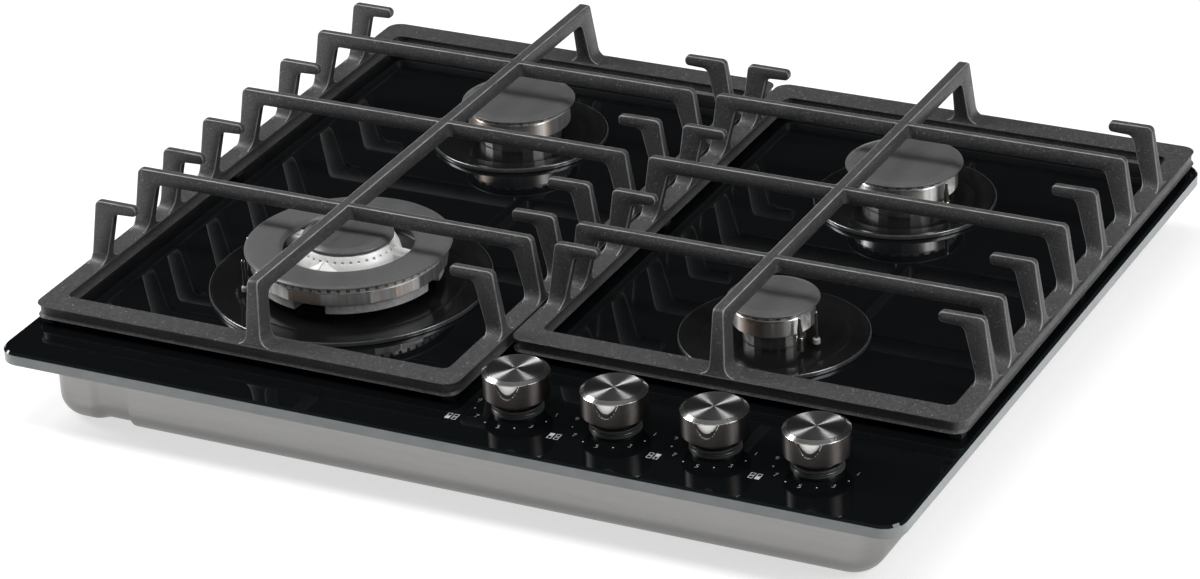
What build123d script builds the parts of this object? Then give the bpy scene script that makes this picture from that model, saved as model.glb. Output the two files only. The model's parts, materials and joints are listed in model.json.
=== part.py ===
"""Built-in gas cooktop, four burners: black glass top, cast pan supports, pressed steel tray.

Millimetres. +X is the user's right, +Y the rear, +Z up. The origin is the centre of the tray's
underside, so the tray stands on Z = 0 and the glass top face is at GLASS_TOP. Heights of the
burners, knobs and pan supports are measured from the glass top face.
"""

import os
from math import cos, radians, sin

from build123d import *

# ---- glass top and tray
GLASS_W, GLASS_D, GLASS_T = 590.0, 500.0, 8.0
GLASS_CORNER_R, GLASS_BEVEL = 14.0, 1.5
TRAY_W, TRAY_D, TRAY_H = 544.0, 465.0, 43.0
TRAY_CORNER_R, TRAY_BOTTOM_R, SHEET = 20.0, 15.0, 1.0
FLANGE, SEAL_T = 6.0, 1.2
POCKET_X, POCKET_W, POCKET_DEPTH = -227.0, 24.0, 4.5
CLAMP_X, CLAMP_Y, CLAMP_HOLE_R = 200.0, 195.0, 2.1
GLASS_TOP = TRAY_H + GLASS_T

# ---- burners: centre x, y, then the radii of the cap, crown, plate and cup
REAR_Y, BURNER_X = 136.5, 136.6
BURNERS = {
    "wok": (-BURNER_X, -91.4, 64.3, 61.0, 88.0, 43.0),
    "rear_left": (-BURNER_X, REAR_Y, 37.1, 33.5, 58.0, 27.0),
    "rear_right": (BURNER_X, REAR_Y, 37.1, 33.5, 58.0, 27.0),
    "auxiliary": (BURNER_X, -63.4, 28.0, 25.0, 58.0, 19.0),
}
PORTS = {"wok": 32, "rear_left": 16, "rear_right": 16, "auxiliary": 12}
PLATE_H, CUP_DEPTH, SEAT_H, CROWN_TOP, CAP_TOP = 3.0, 22.0, 11.0, 24.4, 28.2
WOK_SEAT_H, WOK_CROWN_TOP, WOK_CAP_TOP = 7.0, 25.2, 28.6
WOK_HOLE_R, INNER_CROWN_R, INNER_CROWN_TOP = 41.0, 33.0, 31.0
INNER_CAP_R, INNER_CAP_TOP, GROOVE_R = 28.5, 35.2, 47.0
PORT_W, PORT_H, PORT_DEPTH, SEAT_GAP = 1.8, 3.0, 5.0, 0.02

# ---- controls: one column for each knob, with the burner that it feeds
KNOB_X0, KNOB_PITCH, KNOB_Y = 34.6, 63.4, -199.5
KNOB_BURNERS = ["wok", "rear_left", "rear_right", "auxiliary"]
KNOB_R, KNOB_LOW, KNOB_TOP, KNOB_TRAVEL = 19.8, 9.8, 26.0, 3.0
SCOOP_R, SCOOP_DEPTH, SCOOP_H = 7.6, 3.6, 8.0
SPINDLE_R, SPINDLE_FLAT, SPINDLE_TOP, RUNNING = 3.0, 2.0, 20.0, 0.05
SPINDLE_HOLE_R, BEZEL_R, BEZEL_H = 6.0, 15.5, 4.6
VALVE_LOW, VALVE_TOP, VALVE_HALF = 10.0, 36.0, 9.5
PLUG_R, PLUG_TOP, TANG_W, TANG_LOW = 5.6, 42.5, 3.0, 41.0

# ---- gas train
RAIL_R, RAIL_Y, RAIL_Z = 8.0, KNOB_Y - 18.5, 21.0
PIPE_R, PIPE_Z = 3.0, 32.6
INLET_X, INLET_R, INLET_REACH = 215.0, 10.48, 16.0
CABLE_X, CABLE_Z, CABLE_R = 120.0, 21.0, 4.0

# ---- pan supports
SUPPORT_TOP, RING_LOW, RING_TOP = 53.7, 4.8, 12.8
RING_IN, RING_OUT, RING_BACK, RING_CORNER_R = 0.8, 291.5, 247.5, 9.0
STRIP_SIDE, STRIP_FRONT, STRIP_BACK, WINDOW_CORNER = 13.5, 17.5, 19.0, 4.0
POST_LEAN, POST_W, ARM_LEN, ARM_H, BAR_H = 7.4, 13.0, 28.5, 7.2, 9.4
BLADE_TOP, BLADE_ROOT, BLADE_FLARE = 4.8, 7.0, 20.0
SPINE_TOP, SPINE_ROOT, SPINE_FLARE, SPINE_LEAN, SPINE_POST = 7.0, 10.0, 22.0, 6.5, 15.0
SUPPORTS = {
    "left": (-1, -211.3, (-91.4, 37.3, REAR_Y), (-141.0, -61.0, -11.9, 86.8, 185.0)),
    "right": (1, -145.7, (-63.4, 37.0, REAR_Y), (-92.5, -13.7, 86.8, 184.9)),
}

# ---- spark plugs and flame probes: the angle in plan at which each stands beside its crown
SPARK_ANGLES = {"wok": -143.0, "rear_left": 150.0, "rear_right": 62.0, "auxiliary": -8.0}
PROBE_ANGLES = {"wok": -169.0, "rear_left": 120.0, "rear_right": -24.0, "auxiliary": -34.5}

# ---- flats on repeated round pieces, which keep the facets few, from large outlines to hidden rods
ROUND, MEDIUM, SMALL, HIDDEN = 48, 24, 16, 8


def knob_x(index):
    """X of one knob's axis."""
    return KNOB_X0 + KNOB_PITCH * index


def outline(*points):
    """A flat face through (u, v) points; a third number rounds that corner."""
    face = make_face(Polyline(*[point[:2] for point in points], close=True))
    for point in points:
        if len(point) == 3:
            corner = face.vertices().sort_by_distance((point[0], point[1], 0))[0]
            face = fillet(corner, radius=point[2])
    return face


def slab_xz(face, y, thickness):
    """Extrudes an (x, z) face symmetrically about the plane Y = y."""
    return extrude(Plane.XZ.offset(-y) * face, amount=thickness / 2, both=True)


def slab_yz(face, x, thickness):
    """Extrudes a (y, z) face symmetrically about the plane X = x."""
    return extrude(Plane.YZ.offset(x) * face, amount=thickness / 2, both=True)


def upright(face, low, high):
    """Extrudes an (x, y) face from height low to height high."""
    return Pos(0, 0, low) * extrude(face, amount=high - low)


def disc(radius, flats=ROUND):
    """A round outline drawn with flats; a true circle is kept for holes and fits."""
    return RegularPolygon(radius, flats)


def block(low, high):
    """A box between two opposite corners."""
    size = [b - a for a, b in zip(low, high)]
    middle = [(a + b) / 2 for a, b in zip(low, high)]
    return Pos(*middle) * Box(*size)


def around(solid, count, start=0.0):
    """Copies of a solid turned about Z in equal steps."""
    return [Rot(0, 0, start + 360.0 * k / count) * solid for k in range(count)]


def tube(points, radius):
    """A mitred run of hidden tube."""
    path = Polyline(*points)
    start = Plane(origin=path @ 0, z_dir=path % 0)
    section = start * RegularPolygon(radius, HIDDEN, major_radius=False)
    return sweep(section, path=path, transition=Transition.RIGHT)


def at_burner(name, solid):
    """Puts a solid modelled on the Z axis on the glass at a burner's centre."""
    return Pos(BURNERS[name][0], BURNERS[name][1], GLASS_TOP) * solid


def at_knobs(solid):
    """Four copies of a solid modelled on the Z axis, one at each knob."""
    return [Pos(knob_x(index), KNOB_Y, 0) * solid for index in range(len(KNOB_BURNERS))]


def group(items):
    """Separate solids kept side by side in one node."""
    return Compound(children=[solid for item in items for solid in item.solids()])


# ------------------------------------------------------------------ housing


def glass_top():
    """Tempered glass plate with a ground bevel, four burner holes and four spindle holes."""
    plate = extrude(RectangleRounded(GLASS_W, GLASS_D, GLASS_CORNER_R), amount=GLASS_T)
    plate = chamfer(plate.faces().sort_by(Axis.Z)[-1].edges(), GLASS_BEVEL)
    plate = Pos(0, 0, TRAY_H) * plate
    for name, (*_, cup) in BURNERS.items():
        plate -= at_burner(name, upright(disc(cup + 1, MEDIUM), -GLASS_T - 1, 1))
    return plate - at_knobs(upright(disc(SPINDLE_HOLE_R, SMALL), TRAY_H - 1, GLASS_TOP + 1))


def pressed_form(inset):
    """The tray's outside form, or its inside form when inset by one sheet thickness."""
    half_w, half_d = TRAY_W / 2 - inset, TRAY_D / 2 - inset
    top, radius = TRAY_H - SEAL_T, TRAY_BOTTOM_R - inset
    front, side = [
        outline((-half, top), (-half, inset, radius), (half, inset, radius), (half, top))
        for half in (half_w, half_d)
    ]
    plan = RectangleRounded(2 * half_w, 2 * half_d, TRAY_CORNER_R - inset)
    pan = slab_xz(front, 0, TRAY_D) & slab_yz(side, 0, TRAY_W) & upright(plan, 0, top)
    half_pocket = POCKET_W / 2 + inset
    strip = block((POCKET_X - half_pocket, -TRAY_D, -1), (POCKET_X + half_pocket, -TRAY_D / 3, TRAY_H))
    return (pan - strip) + (Pos(0, POCKET_DEPTH, 0) * pan & strip)


def base_tray():
    """Pressed tray with an outward flange, rear cut-outs and holes for the worktop clamps."""
    rim, wall = TRAY_H - SEAL_T, TRAY_D / 2
    lip = RectangleRounded(TRAY_W + 2 * FLANGE, TRAY_D + 2 * FLANGE, TRAY_CORNER_R + FLANGE)
    tray = pressed_form(0.0) + upright(lip, rim - SHEET, rim)
    tray -= pressed_form(SHEET)
    for x, z, half in ((INLET_X, RAIL_Z, INLET_R + 0.6), (CABLE_X, CABLE_Z, CABLE_R + 2.5)):
        tray -= block((x - half, wall - 3 * SHEET, z - half), (x + half, wall + SHEET, z + half))
    hole = Cylinder(CLAMP_HOLE_R, 4 * SHEET)
    return tray - [Pos(x, y, 0) * hole for x in (-CLAMP_X, CLAMP_X) for y in (-CLAMP_Y, CLAMP_Y)]


def tray_sealant():
    """Sealing tape between the tray's flange and the glass."""
    outer = Rectangle(TRAY_W + 2 * FLANGE - 2, TRAY_D + 2 * FLANGE - 2)
    inner = Rectangle(TRAY_W + 2, TRAY_D + 2)
    return upright(outer - inner, TRAY_H - SEAL_T, TRAY_H)


def burner_bracket(y, reach):
    """Folded steel bridge on the tray's floor that carries a pair of burner cups."""
    top, sheet = GLASS_TOP - CUP_DEPTH, 1.5
    foot = reach + 12
    bridge = outline(
        (-foot, SHEET), (-reach + sheet, SHEET), (-reach + sheet, top - sheet), (reach - sheet, top - sheet),
        (reach - sheet, SHEET), (foot, SHEET), (foot, SHEET + sheet), (reach, SHEET + sheet),
        (reach, top), (-reach, top), (-reach, SHEET + sheet), (-foot, SHEET + sheet),
    )
    return slab_xz(bridge, y, 10)


# ------------------------------------------------------------------ burners


def seat_height(name):
    """Height at which a crown sits on its cup."""
    return WOK_SEAT_H if name == "wok" else SEAT_H


def burner_plate(name):
    """Enamelled plate on the glass round a burner cup."""
    *_, rim, cup = BURNERS[name]
    return upright(disc(rim) - disc(cup + 0.5, MEDIUM), 0, PLATE_H)


def burner_cup(name):
    """Die-cast cup from its bracket up through the glass to the crown."""
    return upright(disc(BURNERS[name][5], MEDIUM), -CUP_DEPTH, seat_height(name) - SEAT_GAP)


def injector():
    """Brass gas jet screwed into the underside of a burner cup."""
    return upright(RegularPolygon(6.0, 6), -CUP_DEPTH - 7, -CUP_DEPTH)


def ports(name, top):
    """Cutters for the row of radial ports along a crown's upper edge."""
    radius = BURNERS[name][3]
    port = block((radius - PORT_DEPTH, -PORT_W / 2, top - PORT_H), (radius + 2, PORT_W / 2, top + 1))
    return around(port, PORTS[name], 180.0 / PORTS[name])


def crown(name):
    """Flame crown of a single-ring burner with its row of ports under the cap."""
    return upright(disc(BURNERS[name][3]), SEAT_H, CROWN_TOP) - ports(name, CROWN_TOP)


def crown_wok():
    """Crown of the wok burner: ported outer ring, air groove and taller inner crown in one casting."""
    body = upright(disc(BURNERS["wok"][3]), WOK_SEAT_H, WOK_CROWN_TOP) - ports("wok", WOK_CROWN_TOP)
    body -= upright(disc(GROOVE_R) - disc(INNER_CROWN_R), WOK_SEAT_H + 8, WOK_CROWN_TOP + 1)
    body += upright(disc(INNER_CROWN_R), WOK_CROWN_TOP - 1, INNER_CROWN_TOP)
    arm = block((INNER_CROWN_R - 2, -8, WOK_SEAT_H + 6), (GROOVE_R + 2, 8, WOK_CROWN_TOP - 2))
    return body + around(arm, 3, -60.0)


def cap(name):
    """Enamelled cap that lies on a single-ring crown."""
    return upright(disc(BURNERS[name][2]), CROWN_TOP + SEAT_GAP, CAP_TOP)


def cap_wok_ring():
    """Annular cap over the outer ring of the wok burner."""
    annulus = disc(BURNERS["wok"][2]) - disc(WOK_HOLE_R)
    return upright(annulus, WOK_CROWN_TOP + SEAT_GAP, WOK_CAP_TOP)


def cap_wok_centre():
    """Round cap over the inner crown of the wok burner."""
    return upright(disc(INNER_CAP_R), INNER_CROWN_TOP + SEAT_GAP, INNER_CAP_TOP)


# ------------------------------------------------------------------ pan supports


def drafted(width_top, width_root, flare):
    """Cross-section of a cast blade: draft from top to root, then a flare into the ring."""
    half = [
        (flare / 2, RING_LOW + 1), (flare / 2, RING_TOP), (width_root / 2, RING_TOP + 6),
        (width_top / 2, SUPPORT_TOP),
    ]
    return outline(*half, *[(-u, v) for u, v in reversed(half)])


def finger_profile():
    """Inverted L on the ring's inner side strip: a leaning post and a short arm over the window."""
    foot, top, under = RING_IN, RING_IN + POST_LEAN, SUPPORT_TOP - ARM_H
    return outline(
        (foot, RING_LOW + 1), (foot + STRIP_SIDE, RING_LOW + 1), (foot + STRIP_SIDE + 0.5, RING_TOP),
        (top + POST_W, under - 3), (top + POST_W + 3, under), (top + ARM_LEN - 1.5, under + 0.6),
        (top + ARM_LEN, SUPPORT_TOP - 1.5), (top + ARM_LEN - 1.5, SUPPORT_TOP), (top + 2.5, SUPPORT_TOP),
        (top - 0.4, SUPPORT_TOP - 2.5), (foot, RING_TOP),
    )


def bar_profile():
    """Full bar carried by a leaning post on each side strip."""
    middle, top, under = (RING_IN + RING_OUT) / 2, RING_IN + POST_LEAN, SUPPORT_TOP - BAR_H
    half = [
        (top + POST_W + 4, under), (top + POST_W, under - 4), (RING_IN + STRIP_SIDE + 0.5, RING_TOP),
        (RING_IN + STRIP_SIDE, RING_LOW + 1), (RING_IN, RING_LOW + 1), (RING_IN, RING_TOP),
        (top - 0.4, SUPPORT_TOP - 2.5), (top + 2.5, SUPPORT_TOP),
    ]
    return outline(*half, *[(2 * middle - u, v) for u, v in reversed(half)])


def spine_profile(front):
    """Front-to-back bar over the burner centres, with a post on each end strip."""
    under, lean, post, back = SUPPORT_TOP - BAR_H, SPINE_LEAN, SPINE_POST, RING_BACK
    return outline(
        (front, RING_LOW + 1), (front, RING_TOP), (front + lean - 0.4, SUPPORT_TOP - 2.5),
        (front + lean + 2.5, SUPPORT_TOP), (back - lean - 6, SUPPORT_TOP),
        (back - lean - 2.5, SUPPORT_TOP - 3), (back, RING_TOP), (back, RING_LOW + 1),
        (back - post, RING_LOW + 1), (back - post - 1, RING_TOP),
        (back - lean - 12, under - 5), (back - lean - 17, under), (front + lean + 14, under),
        (front + lean + 9, under - 5), (front + post + 1, RING_TOP), (front + post, RING_LOW + 1),
    )


def pan_support(front, bars, fingers):
    """Cast support, made as the right-hand one: base ring, bars, fingers and spine in one casting."""
    centre_x, centre_y = (RING_IN + RING_OUT) / 2, (front + RING_BACK) / 2
    width, depth = RING_OUT - RING_IN, RING_BACK - front
    plan = Pos(centre_x, centre_y) * RectangleRounded(width, depth, RING_CORNER_R)
    low = (RING_IN + STRIP_SIDE, front + STRIP_FRONT, 0)
    high = (RING_OUT - STRIP_SIDE, RING_BACK - STRIP_BACK, RING_TOP + 1)
    window = chamfer(block(low, high).edges().filter_by(Axis.Z), WINDOW_CORNER)
    casting = upright(plan, RING_LOW, RING_TOP) - window
    section = drafted(BLADE_TOP, BLADE_ROOT, BLADE_FLARE)
    near = finger_profile()
    far = mirror(near, about=Plane.YZ.offset(centre_x))
    blades = [(y, bar_profile()) for y in bars] + [(y, arm) for y in fingers for arm in (near, far)]
    for y, profile in blades:
        casting += slab_xz(profile, y, BLADE_FLARE) & Pos(0, y, 0) * slab_yz(section, centre_x, width)
    spine = slab_yz(spine_profile(front), BURNER_X, SPINE_FLARE)
    section = Pos(BURNER_X, 0, 0) * slab_xz(drafted(SPINE_TOP, SPINE_ROOT, SPINE_FLARE), centre_y, depth)
    return casting + (spine & section)


def support_feet(front):
    """Rubber feet under the corners and the middle of the ring's sides."""
    xs = (RING_IN + 7, RING_OUT - 7)
    ys = (front + 8, (front + RING_BACK) / 2, RING_BACK - 9)
    return group([block((x - 4, y - 4, 0), (x + 4, y + 4, RING_LOW)) for x in xs for y in ys])


# ------------------------------------------------------------------ controls


def d_shaft(radius, low, high):
    """A round shaft with one flat towards the rear."""
    flat = block((-radius, radius + SPINDLE_FLAT - SPINDLE_R, low - 1), (radius, 2 * radius, high + 1))
    return upright(disc(radius, SMALL), low, high) - flat


def knob():
    """Turned knob with a finger scoop at the front and a D-bore from below."""
    top, low = GLASS_TOP + KNOB_TOP, GLASS_TOP + KNOB_LOW
    scoop = Pos(0, -KNOB_R, top - 2) * Rot(90, 0, 0) * Cylinder(SCOOP_R, 2 * SCOOP_DEPTH)
    scoop &= block((-KNOB_R, -2 * KNOB_R, top - SCOOP_H - 2), (KNOB_R, 0, top - 2))
    bore = d_shaft(SPINDLE_R + RUNNING, low - 1, GLASS_TOP + SPINDLE_TOP)
    return upright(disc(KNOB_R), low, top) - scoop - bore


def spindle():
    """D-shaft that carries the knob, with a flat tang at its foot that slides in the plug's slot."""
    shoulder = PLUG_TOP + KNOB_TRAVEL + 0.3
    tang = block((-SPINDLE_R + 0.2, -TANG_W / 2, TANG_LOW), (SPINDLE_R - 0.2, TANG_W / 2, shoulder))
    return d_shaft(SPINDLE_R, shoulder, GLASS_TOP + SPINDLE_TOP) + tang


def valve_plug():
    """Turning plug of the gas tap, slotted for the spindle's tang."""
    half_slot, floor = TANG_W / 2 + RUNNING, TANG_LOW - KNOB_TRAVEL - 0.5
    slot = block((-PLUG_R, -half_slot, floor), (PLUG_R, half_slot, PLUG_TOP + 1))
    return upright(disc(PLUG_R, HIDDEN), VALVE_TOP + RUNNING, PLUG_TOP) - slot


def valve_body():
    """Body of a gas tap, with the saddle in front that seats on the gas rail."""
    half, rail = VALVE_HALF, RAIL_Y - KNOB_Y
    saddle = block((-half + 2, rail, RAIL_Z), (half - 2, -half, VALVE_TOP - 4))
    seat = tube([(-30, rail, RAIL_Z), (30, rail, RAIL_Z)], RAIL_R + RUNNING)
    return block((-half, -half, VALVE_LOW), (half, half, VALVE_TOP)) + saddle - seat


def knob_bezel():
    """Collar on the glass round the spindle."""
    return upright(disc(BEZEL_R, 2 * SMALL) - disc(SPINDLE_R + 1, HIDDEN), GLASS_TOP, GLASS_TOP + BEZEL_H)


def microswitch():
    """Ignition switch on a tap body, beside the plug."""
    return block((-VALVE_HALF, -6, VALVE_TOP), (-PLUG_R - 0.6, 6, VALVE_TOP + 6))


# ------------------------------------------------------------------ gas train


def gas_rail():
    """Rail under the front edge that feeds the taps, and its return run to the rear inlet."""
    bend = 28.0
    side, rear = INLET_X + bend, TRAY_D / 2 - 12
    route = [(knob_x(0) - 20, RAIL_Y), (side, RAIL_Y), (side, rear - 2 * bend)]
    route += [(INLET_X, rear - bend), (INLET_X, rear)]
    return tube([(x, y, RAIL_Z) for x, y in route], RAIL_R)


def gas_inlet():
    """Inlet stub for a half-inch parallel connector, with its hexagon inside the rear wall."""
    shoulder, hexagon = -4.0, -12.0
    stub = upright(Circle(INLET_R), shoulder, INLET_REACH)
    nut = upright(RegularPolygon(14.5, 6), hexagon, shoulder)
    return Pos(INLET_X, TRAY_D / 2, RAIL_Z) * Rot(-90, 0, 0) * (stub + nut)


def gas_pipe(name):
    """Aluminium feed pipe of one burner, from its tap to the side of its cup."""
    x0, start = knob_x(KNOB_BURNERS.index(name)), KNOB_Y + VALVE_HALF
    x, y, cup = BURNERS[name][0], BURNERS[name][1], BURNERS[name][5]
    routes = {
        "wok": [(x0, start), (x0, y - 45), (x0 - 45, y), (x + cup, y)],
        "rear_left": [(x0, start), (x0, -150), (40, -70), (40, 75), (-20, y), (x + cup, y)],
        "rear_right": [(x0, start), (x0, -165), (102, -110), (102, 40), (x, 80), (x, y - cup)],
        "auxiliary": [(x0, start), (x0, y - 30), (x0 - 30, y), (x + cup, y)],
    }
    return tube([(px, py, PIPE_Z) for px, py in routes[name]], PIPE_R)


# ------------------------------------------------------------------ ignition and electrics


def beside_crowns(angles, solid):
    """Copies of a slim upright solid just outside each crown, at its angle in plan."""
    placed = []
    for name, angle in angles.items():
        reach = BURNERS[name][3] + 4.6
        offset = Pos(reach * cos(radians(angle)), reach * sin(radians(angle)), 0)
        placed.append(at_burner(name, offset * solid))
    return group(placed)


def spark_ceramic():
    """White ceramic sleeve that stands on the burner plate."""
    return upright(disc(2.6, HIDDEN), PLATE_H, 12.5)


def spark_tip():
    """Steel wire of the spark plug above its ceramic."""
    return upright(disc(0.9, HIDDEN), 12.5, 23.5)


def thermocouple():
    """Flame probe: a collar on the burner plate and a rod that ends beside the ports."""
    collar = upright(disc(2.8, HIDDEN), PLATE_H, 12.5)
    return collar + upright(disc(1.5, HIDDEN), 12.5, 23.5)


def spark_generator():
    """Ignition transformer on the tray's floor, with its row of lead terminals."""
    body = block((-250, 140, SHEET), (-185, 184, 29))
    return body + [block((-247 + 12 * k, 132, 14), (-240 + 12 * k, 140, 22)) for k in range(5)]


def terminal_block():
    """Mains terminal block inside the tray, ahead of the cable gland."""
    low_x, top = CABLE_X - 18, CABLE_Z - CABLE_R - 1
    body = block((low_x, 192, SHEET), (low_x + 36, 210, top))
    return body - [block((low_x + 4 + 11 * k, 188, 6), (low_x + 10 + 11 * k, 200, top - 3)) for k in range(3)]


def cable_gland():
    """Strain-relief gland in the rear wall; its bore is the mains cable inlet."""
    flange = upright(Rectangle(20, 20), 0, 3)
    neck = upright(Rectangle(2 * CABLE_R + 4, 2 * CABLE_R + 4), -8, 0)
    gland = flange + neck - Cylinder(CABLE_R, 40)
    return Pos(CABLE_X, TRAY_D / 2, CABLE_Z) * Rot(-90, 0, 0) * gland


def all_nodes():
    """Every separate piece of the cooktop by its node name."""
    nodes = {
        "glass_top": glass_top(),
        "base_tray": base_tray(),
        "tray_sealant": tray_sealant(),
        "burner_bracket_front": burner_bracket(BURNERS["auxiliary"][1] + 11, 215.0),
        "burner_bracket_rear": burner_bracket(REAR_Y + 18, 168.0),
        "burner_plates": group([at_burner(name, burner_plate(name)) for name in BURNERS]),
        "burner_cups": group([at_burner(name, burner_cup(name)) for name in BURNERS]),
        "injectors": group([at_burner(name, injector()) for name in BURNERS]),
        "knob_bezels": group(at_knobs(knob_bezel())),
        "valve_bodies": group(at_knobs(valve_body())),
        "ignition_switches": group(at_knobs(microswitch())),
        "spark_ceramics": beside_crowns(SPARK_ANGLES, spark_ceramic()),
        "spark_tips": beside_crowns(SPARK_ANGLES, spark_tip()),
        "thermocouples": beside_crowns(PROBE_ANGLES, thermocouple()),
        "gas_rail": gas_rail(),
        "gas_inlet": gas_inlet(),
        "spark_generator": spark_generator(),
        "terminal_block": terminal_block(),
        "cable_gland": cable_gland(),
        "crown_wok": at_burner("wok", crown_wok()),
        "cap_wok_ring": at_burner("wok", cap_wok_ring()),
        "cap_wok_centre": at_burner("wok", cap_wok_centre()),
    }
    for name in BURNERS:
        nodes[f"gas_pipe_{name}"] = gas_pipe(name)
    for name in ("rear_left", "rear_right", "auxiliary"):
        nodes[f"crown_{name}"] = at_burner(name, crown(name))
        nodes[f"cap_{name}"] = at_burner(name, cap(name))
    for side, (sign, front, bars, fingers) in SUPPORTS.items():
        pieces = {"pan_support": pan_support(front, bars, fingers), "support_feet": support_feet(front)}
        for name, piece in pieces.items():
            placed = Pos(0, 0, GLASS_TOP) * piece
            nodes[f"{name}_{side}"] = placed if sign > 0 else mirror(placed, about=Plane.YZ)
    for name, piece in (("knob", knob()), ("spindle", spindle()), ("valve_plug", valve_plug())):
        for number, placed in enumerate(at_knobs(piece), 1):
            nodes[f"{name}_{number}"] = placed
    return nodes


def main():
    """Writes one STEP file for each node."""
    os.makedirs("parts", exist_ok=True)
    for name, piece in all_nodes().items():
        export_step(piece, f"parts/{name}.step")
        print(name, len(piece.solids()), round(piece.volume))


main()
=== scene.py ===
"""Looks of the built-in gas cooktop: cast pan supports, burners, knobs, glass, print and finishes.

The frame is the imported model's: +X the user's right, +Y the rear, +Z up, in metres. Shapes below are
worked out in millimetres, with heights of what stands on the glass measured from the glass top, and
are scaled by MM where a mesh is made.
"""

import json
from math import cos, pi, radians, sin

import bmesh
import bpy
import numpy as np
from mathutils import Matrix, Vector


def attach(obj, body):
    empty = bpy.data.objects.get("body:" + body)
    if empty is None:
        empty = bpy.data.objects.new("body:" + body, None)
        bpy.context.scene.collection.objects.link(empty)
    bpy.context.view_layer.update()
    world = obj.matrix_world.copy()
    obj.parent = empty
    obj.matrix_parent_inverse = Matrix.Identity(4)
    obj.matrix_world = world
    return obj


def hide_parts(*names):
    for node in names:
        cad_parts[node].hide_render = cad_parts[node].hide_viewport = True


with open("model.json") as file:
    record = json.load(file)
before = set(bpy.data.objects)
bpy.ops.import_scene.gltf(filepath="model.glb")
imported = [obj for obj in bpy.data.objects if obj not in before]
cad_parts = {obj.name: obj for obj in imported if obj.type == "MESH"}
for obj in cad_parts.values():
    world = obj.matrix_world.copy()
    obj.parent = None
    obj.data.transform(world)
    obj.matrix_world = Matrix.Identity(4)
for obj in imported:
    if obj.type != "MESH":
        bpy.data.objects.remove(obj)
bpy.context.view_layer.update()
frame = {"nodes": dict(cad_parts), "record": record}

MM = 0.001
GLASS_TOP = 51.0
MERGE, NO_AREA = 2e-6, 1e-7

# ---- burners: centre in plan, then the radii of the cap, crown, dish and hole for the cup
REAR_Y, BURNER_X = 136.5, 136.6
BURNERS = {
    "wok": dict(x=-BURNER_X, y=-91.4, cap=64.3, crown=61.0, dish=88.0, cup=43.0),
    "rear_left": dict(x=-BURNER_X, y=REAR_Y, cap=37.1, crown=33.5, dish=58.0, cup=27.0),
    "rear_right": dict(x=BURNER_X, y=REAR_Y, cap=37.1, crown=33.5, dish=58.0, cup=27.0),
    "auxiliary": dict(x=BURNER_X, y=-63.4, cap=28.0, crown=25.0, dish=58.0, cup=19.0),
}

# ---- knobs
KNOB_X0, KNOB_PITCH, KNOB_Y, KNOB_COUNT = 34.6, 63.4, -199.5, 4

# ---- pan supports, drawn as the right-hand one; the left-hand one is its mirror image in X
RING_IN, RING_OUT, RING_BACK = 0.8, 291.5, 247.5
RING_LOW, RING_TOP, SUPPORT_TOP = 4.8, 12.8, 53.7
SUPPORTS = {
    "left": dict(sign=-1, front=-211.3, bars=(-91.4, 37.4, 136.4),
                 fingers=(-141.3, -60.8, -12.6, 86.3, 185.0)),
    "right": dict(sign=1, front=-145.7, bars=(-63.4, 36.8, 136.5),
                  fingers=(-92.5, -13.7, 86.8, 184.7)),
}


# ------------------------------------------------------------------ lines and surfaces


def rounded_line(points, steps=6):
    """A line through 2-D points, as an array.

    A third number r rounds that corner: the arc leaves each side at r / tan(half the angle between them)
    from the corner, and runs in equal angles round the centre that lies r off both sides.
    """
    count, line = len(points), []
    for index, point in enumerate(points):
        here = np.array(point[:2], float)
        if len(point) == 2:
            line.append(here[None])
            continue
        before = np.array(points[index - 1][:2], float) - here
        after = np.array(points[(index + 1) % count][:2], float) - here
        before /= np.linalg.norm(before)
        after /= np.linalg.norm(after)
        half = np.arccos(np.clip(before @ after, -1, 1)) / 2
        middle = (before + after) / np.linalg.norm(before + after)
        centre = here + middle * point[2] / np.sin(half)
        start = here + before * point[2] / np.tan(half) - centre
        end = here + after * point[2] / np.tan(half) - centre
        share = np.linspace(0, 1, steps + 1)[:, None]
        sweep = np.pi - 2 * half
        arc = np.sin((1 - share) * sweep) * start + np.sin(share * sweep) * end
        line.append(centre + arc / np.sin(sweep))
    return np.concatenate(line)


def rounded_rectangle(low, high, radius, steps=8):
    """Corner points of a rectangle with rounded corners, anticlockwise."""
    (x0, y0), (x1, y1) = low, high
    return rounded_line([(x0, y0, radius), (x1, y0, radius), (x1, y1, radius), (x0, y1, radius)], steps)


def skin(grid, rows_closed=False, ends=True):
    """A surface over a grid of points (rows, columns, 3) whose rows go round.

    Quads lie between neighbouring rows and columns. Unless the rows close as well, one face closes each end.
    """
    rows, columns = grid.shape[:2]
    index = np.arange(rows * columns).reshape(rows, columns)
    if rows_closed:
        index = np.vstack([index, index[:1]])
    index = np.hstack([index, index[:, :1]])
    quads = np.stack([index[:-1, :-1], index[:-1, 1:], index[1:, 1:], index[1:, :-1]], -1)
    faces = quads.reshape(-1, 4).tolist()
    if ends and not rows_closed:
        faces.append(list(range(columns))[::-1])
        faces.append(list(range((rows - 1) * columns, rows * columns)))
    return grid.reshape(-1, 3), faces


def turned(profile, centre, steps, closed=False, reshape=None):
    """A profile of (radius, height) turned about the upright axis through centre.

    Point (i, j) is (r cos a, r sin a, z) with a in equal steps; reshape(a, r, z) may change r and z. A
    profile that starts and ends on the axis closes there, and a closed one is a ring.
    """
    angle = np.linspace(0, 2 * pi, steps, endpoint=False)[None, :]
    radius = np.repeat(profile[:, :1], steps, 1)
    height = np.repeat(profile[:, 1:2], steps, 1)
    if reshape:
        radius, height = reshape(angle, radius, height)
    grid = np.stack([centre[0] + radius * np.cos(angle), centre[1] + radius * np.sin(angle), height], -1)
    return skin(grid, rows_closed=closed, ends=False)


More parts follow.
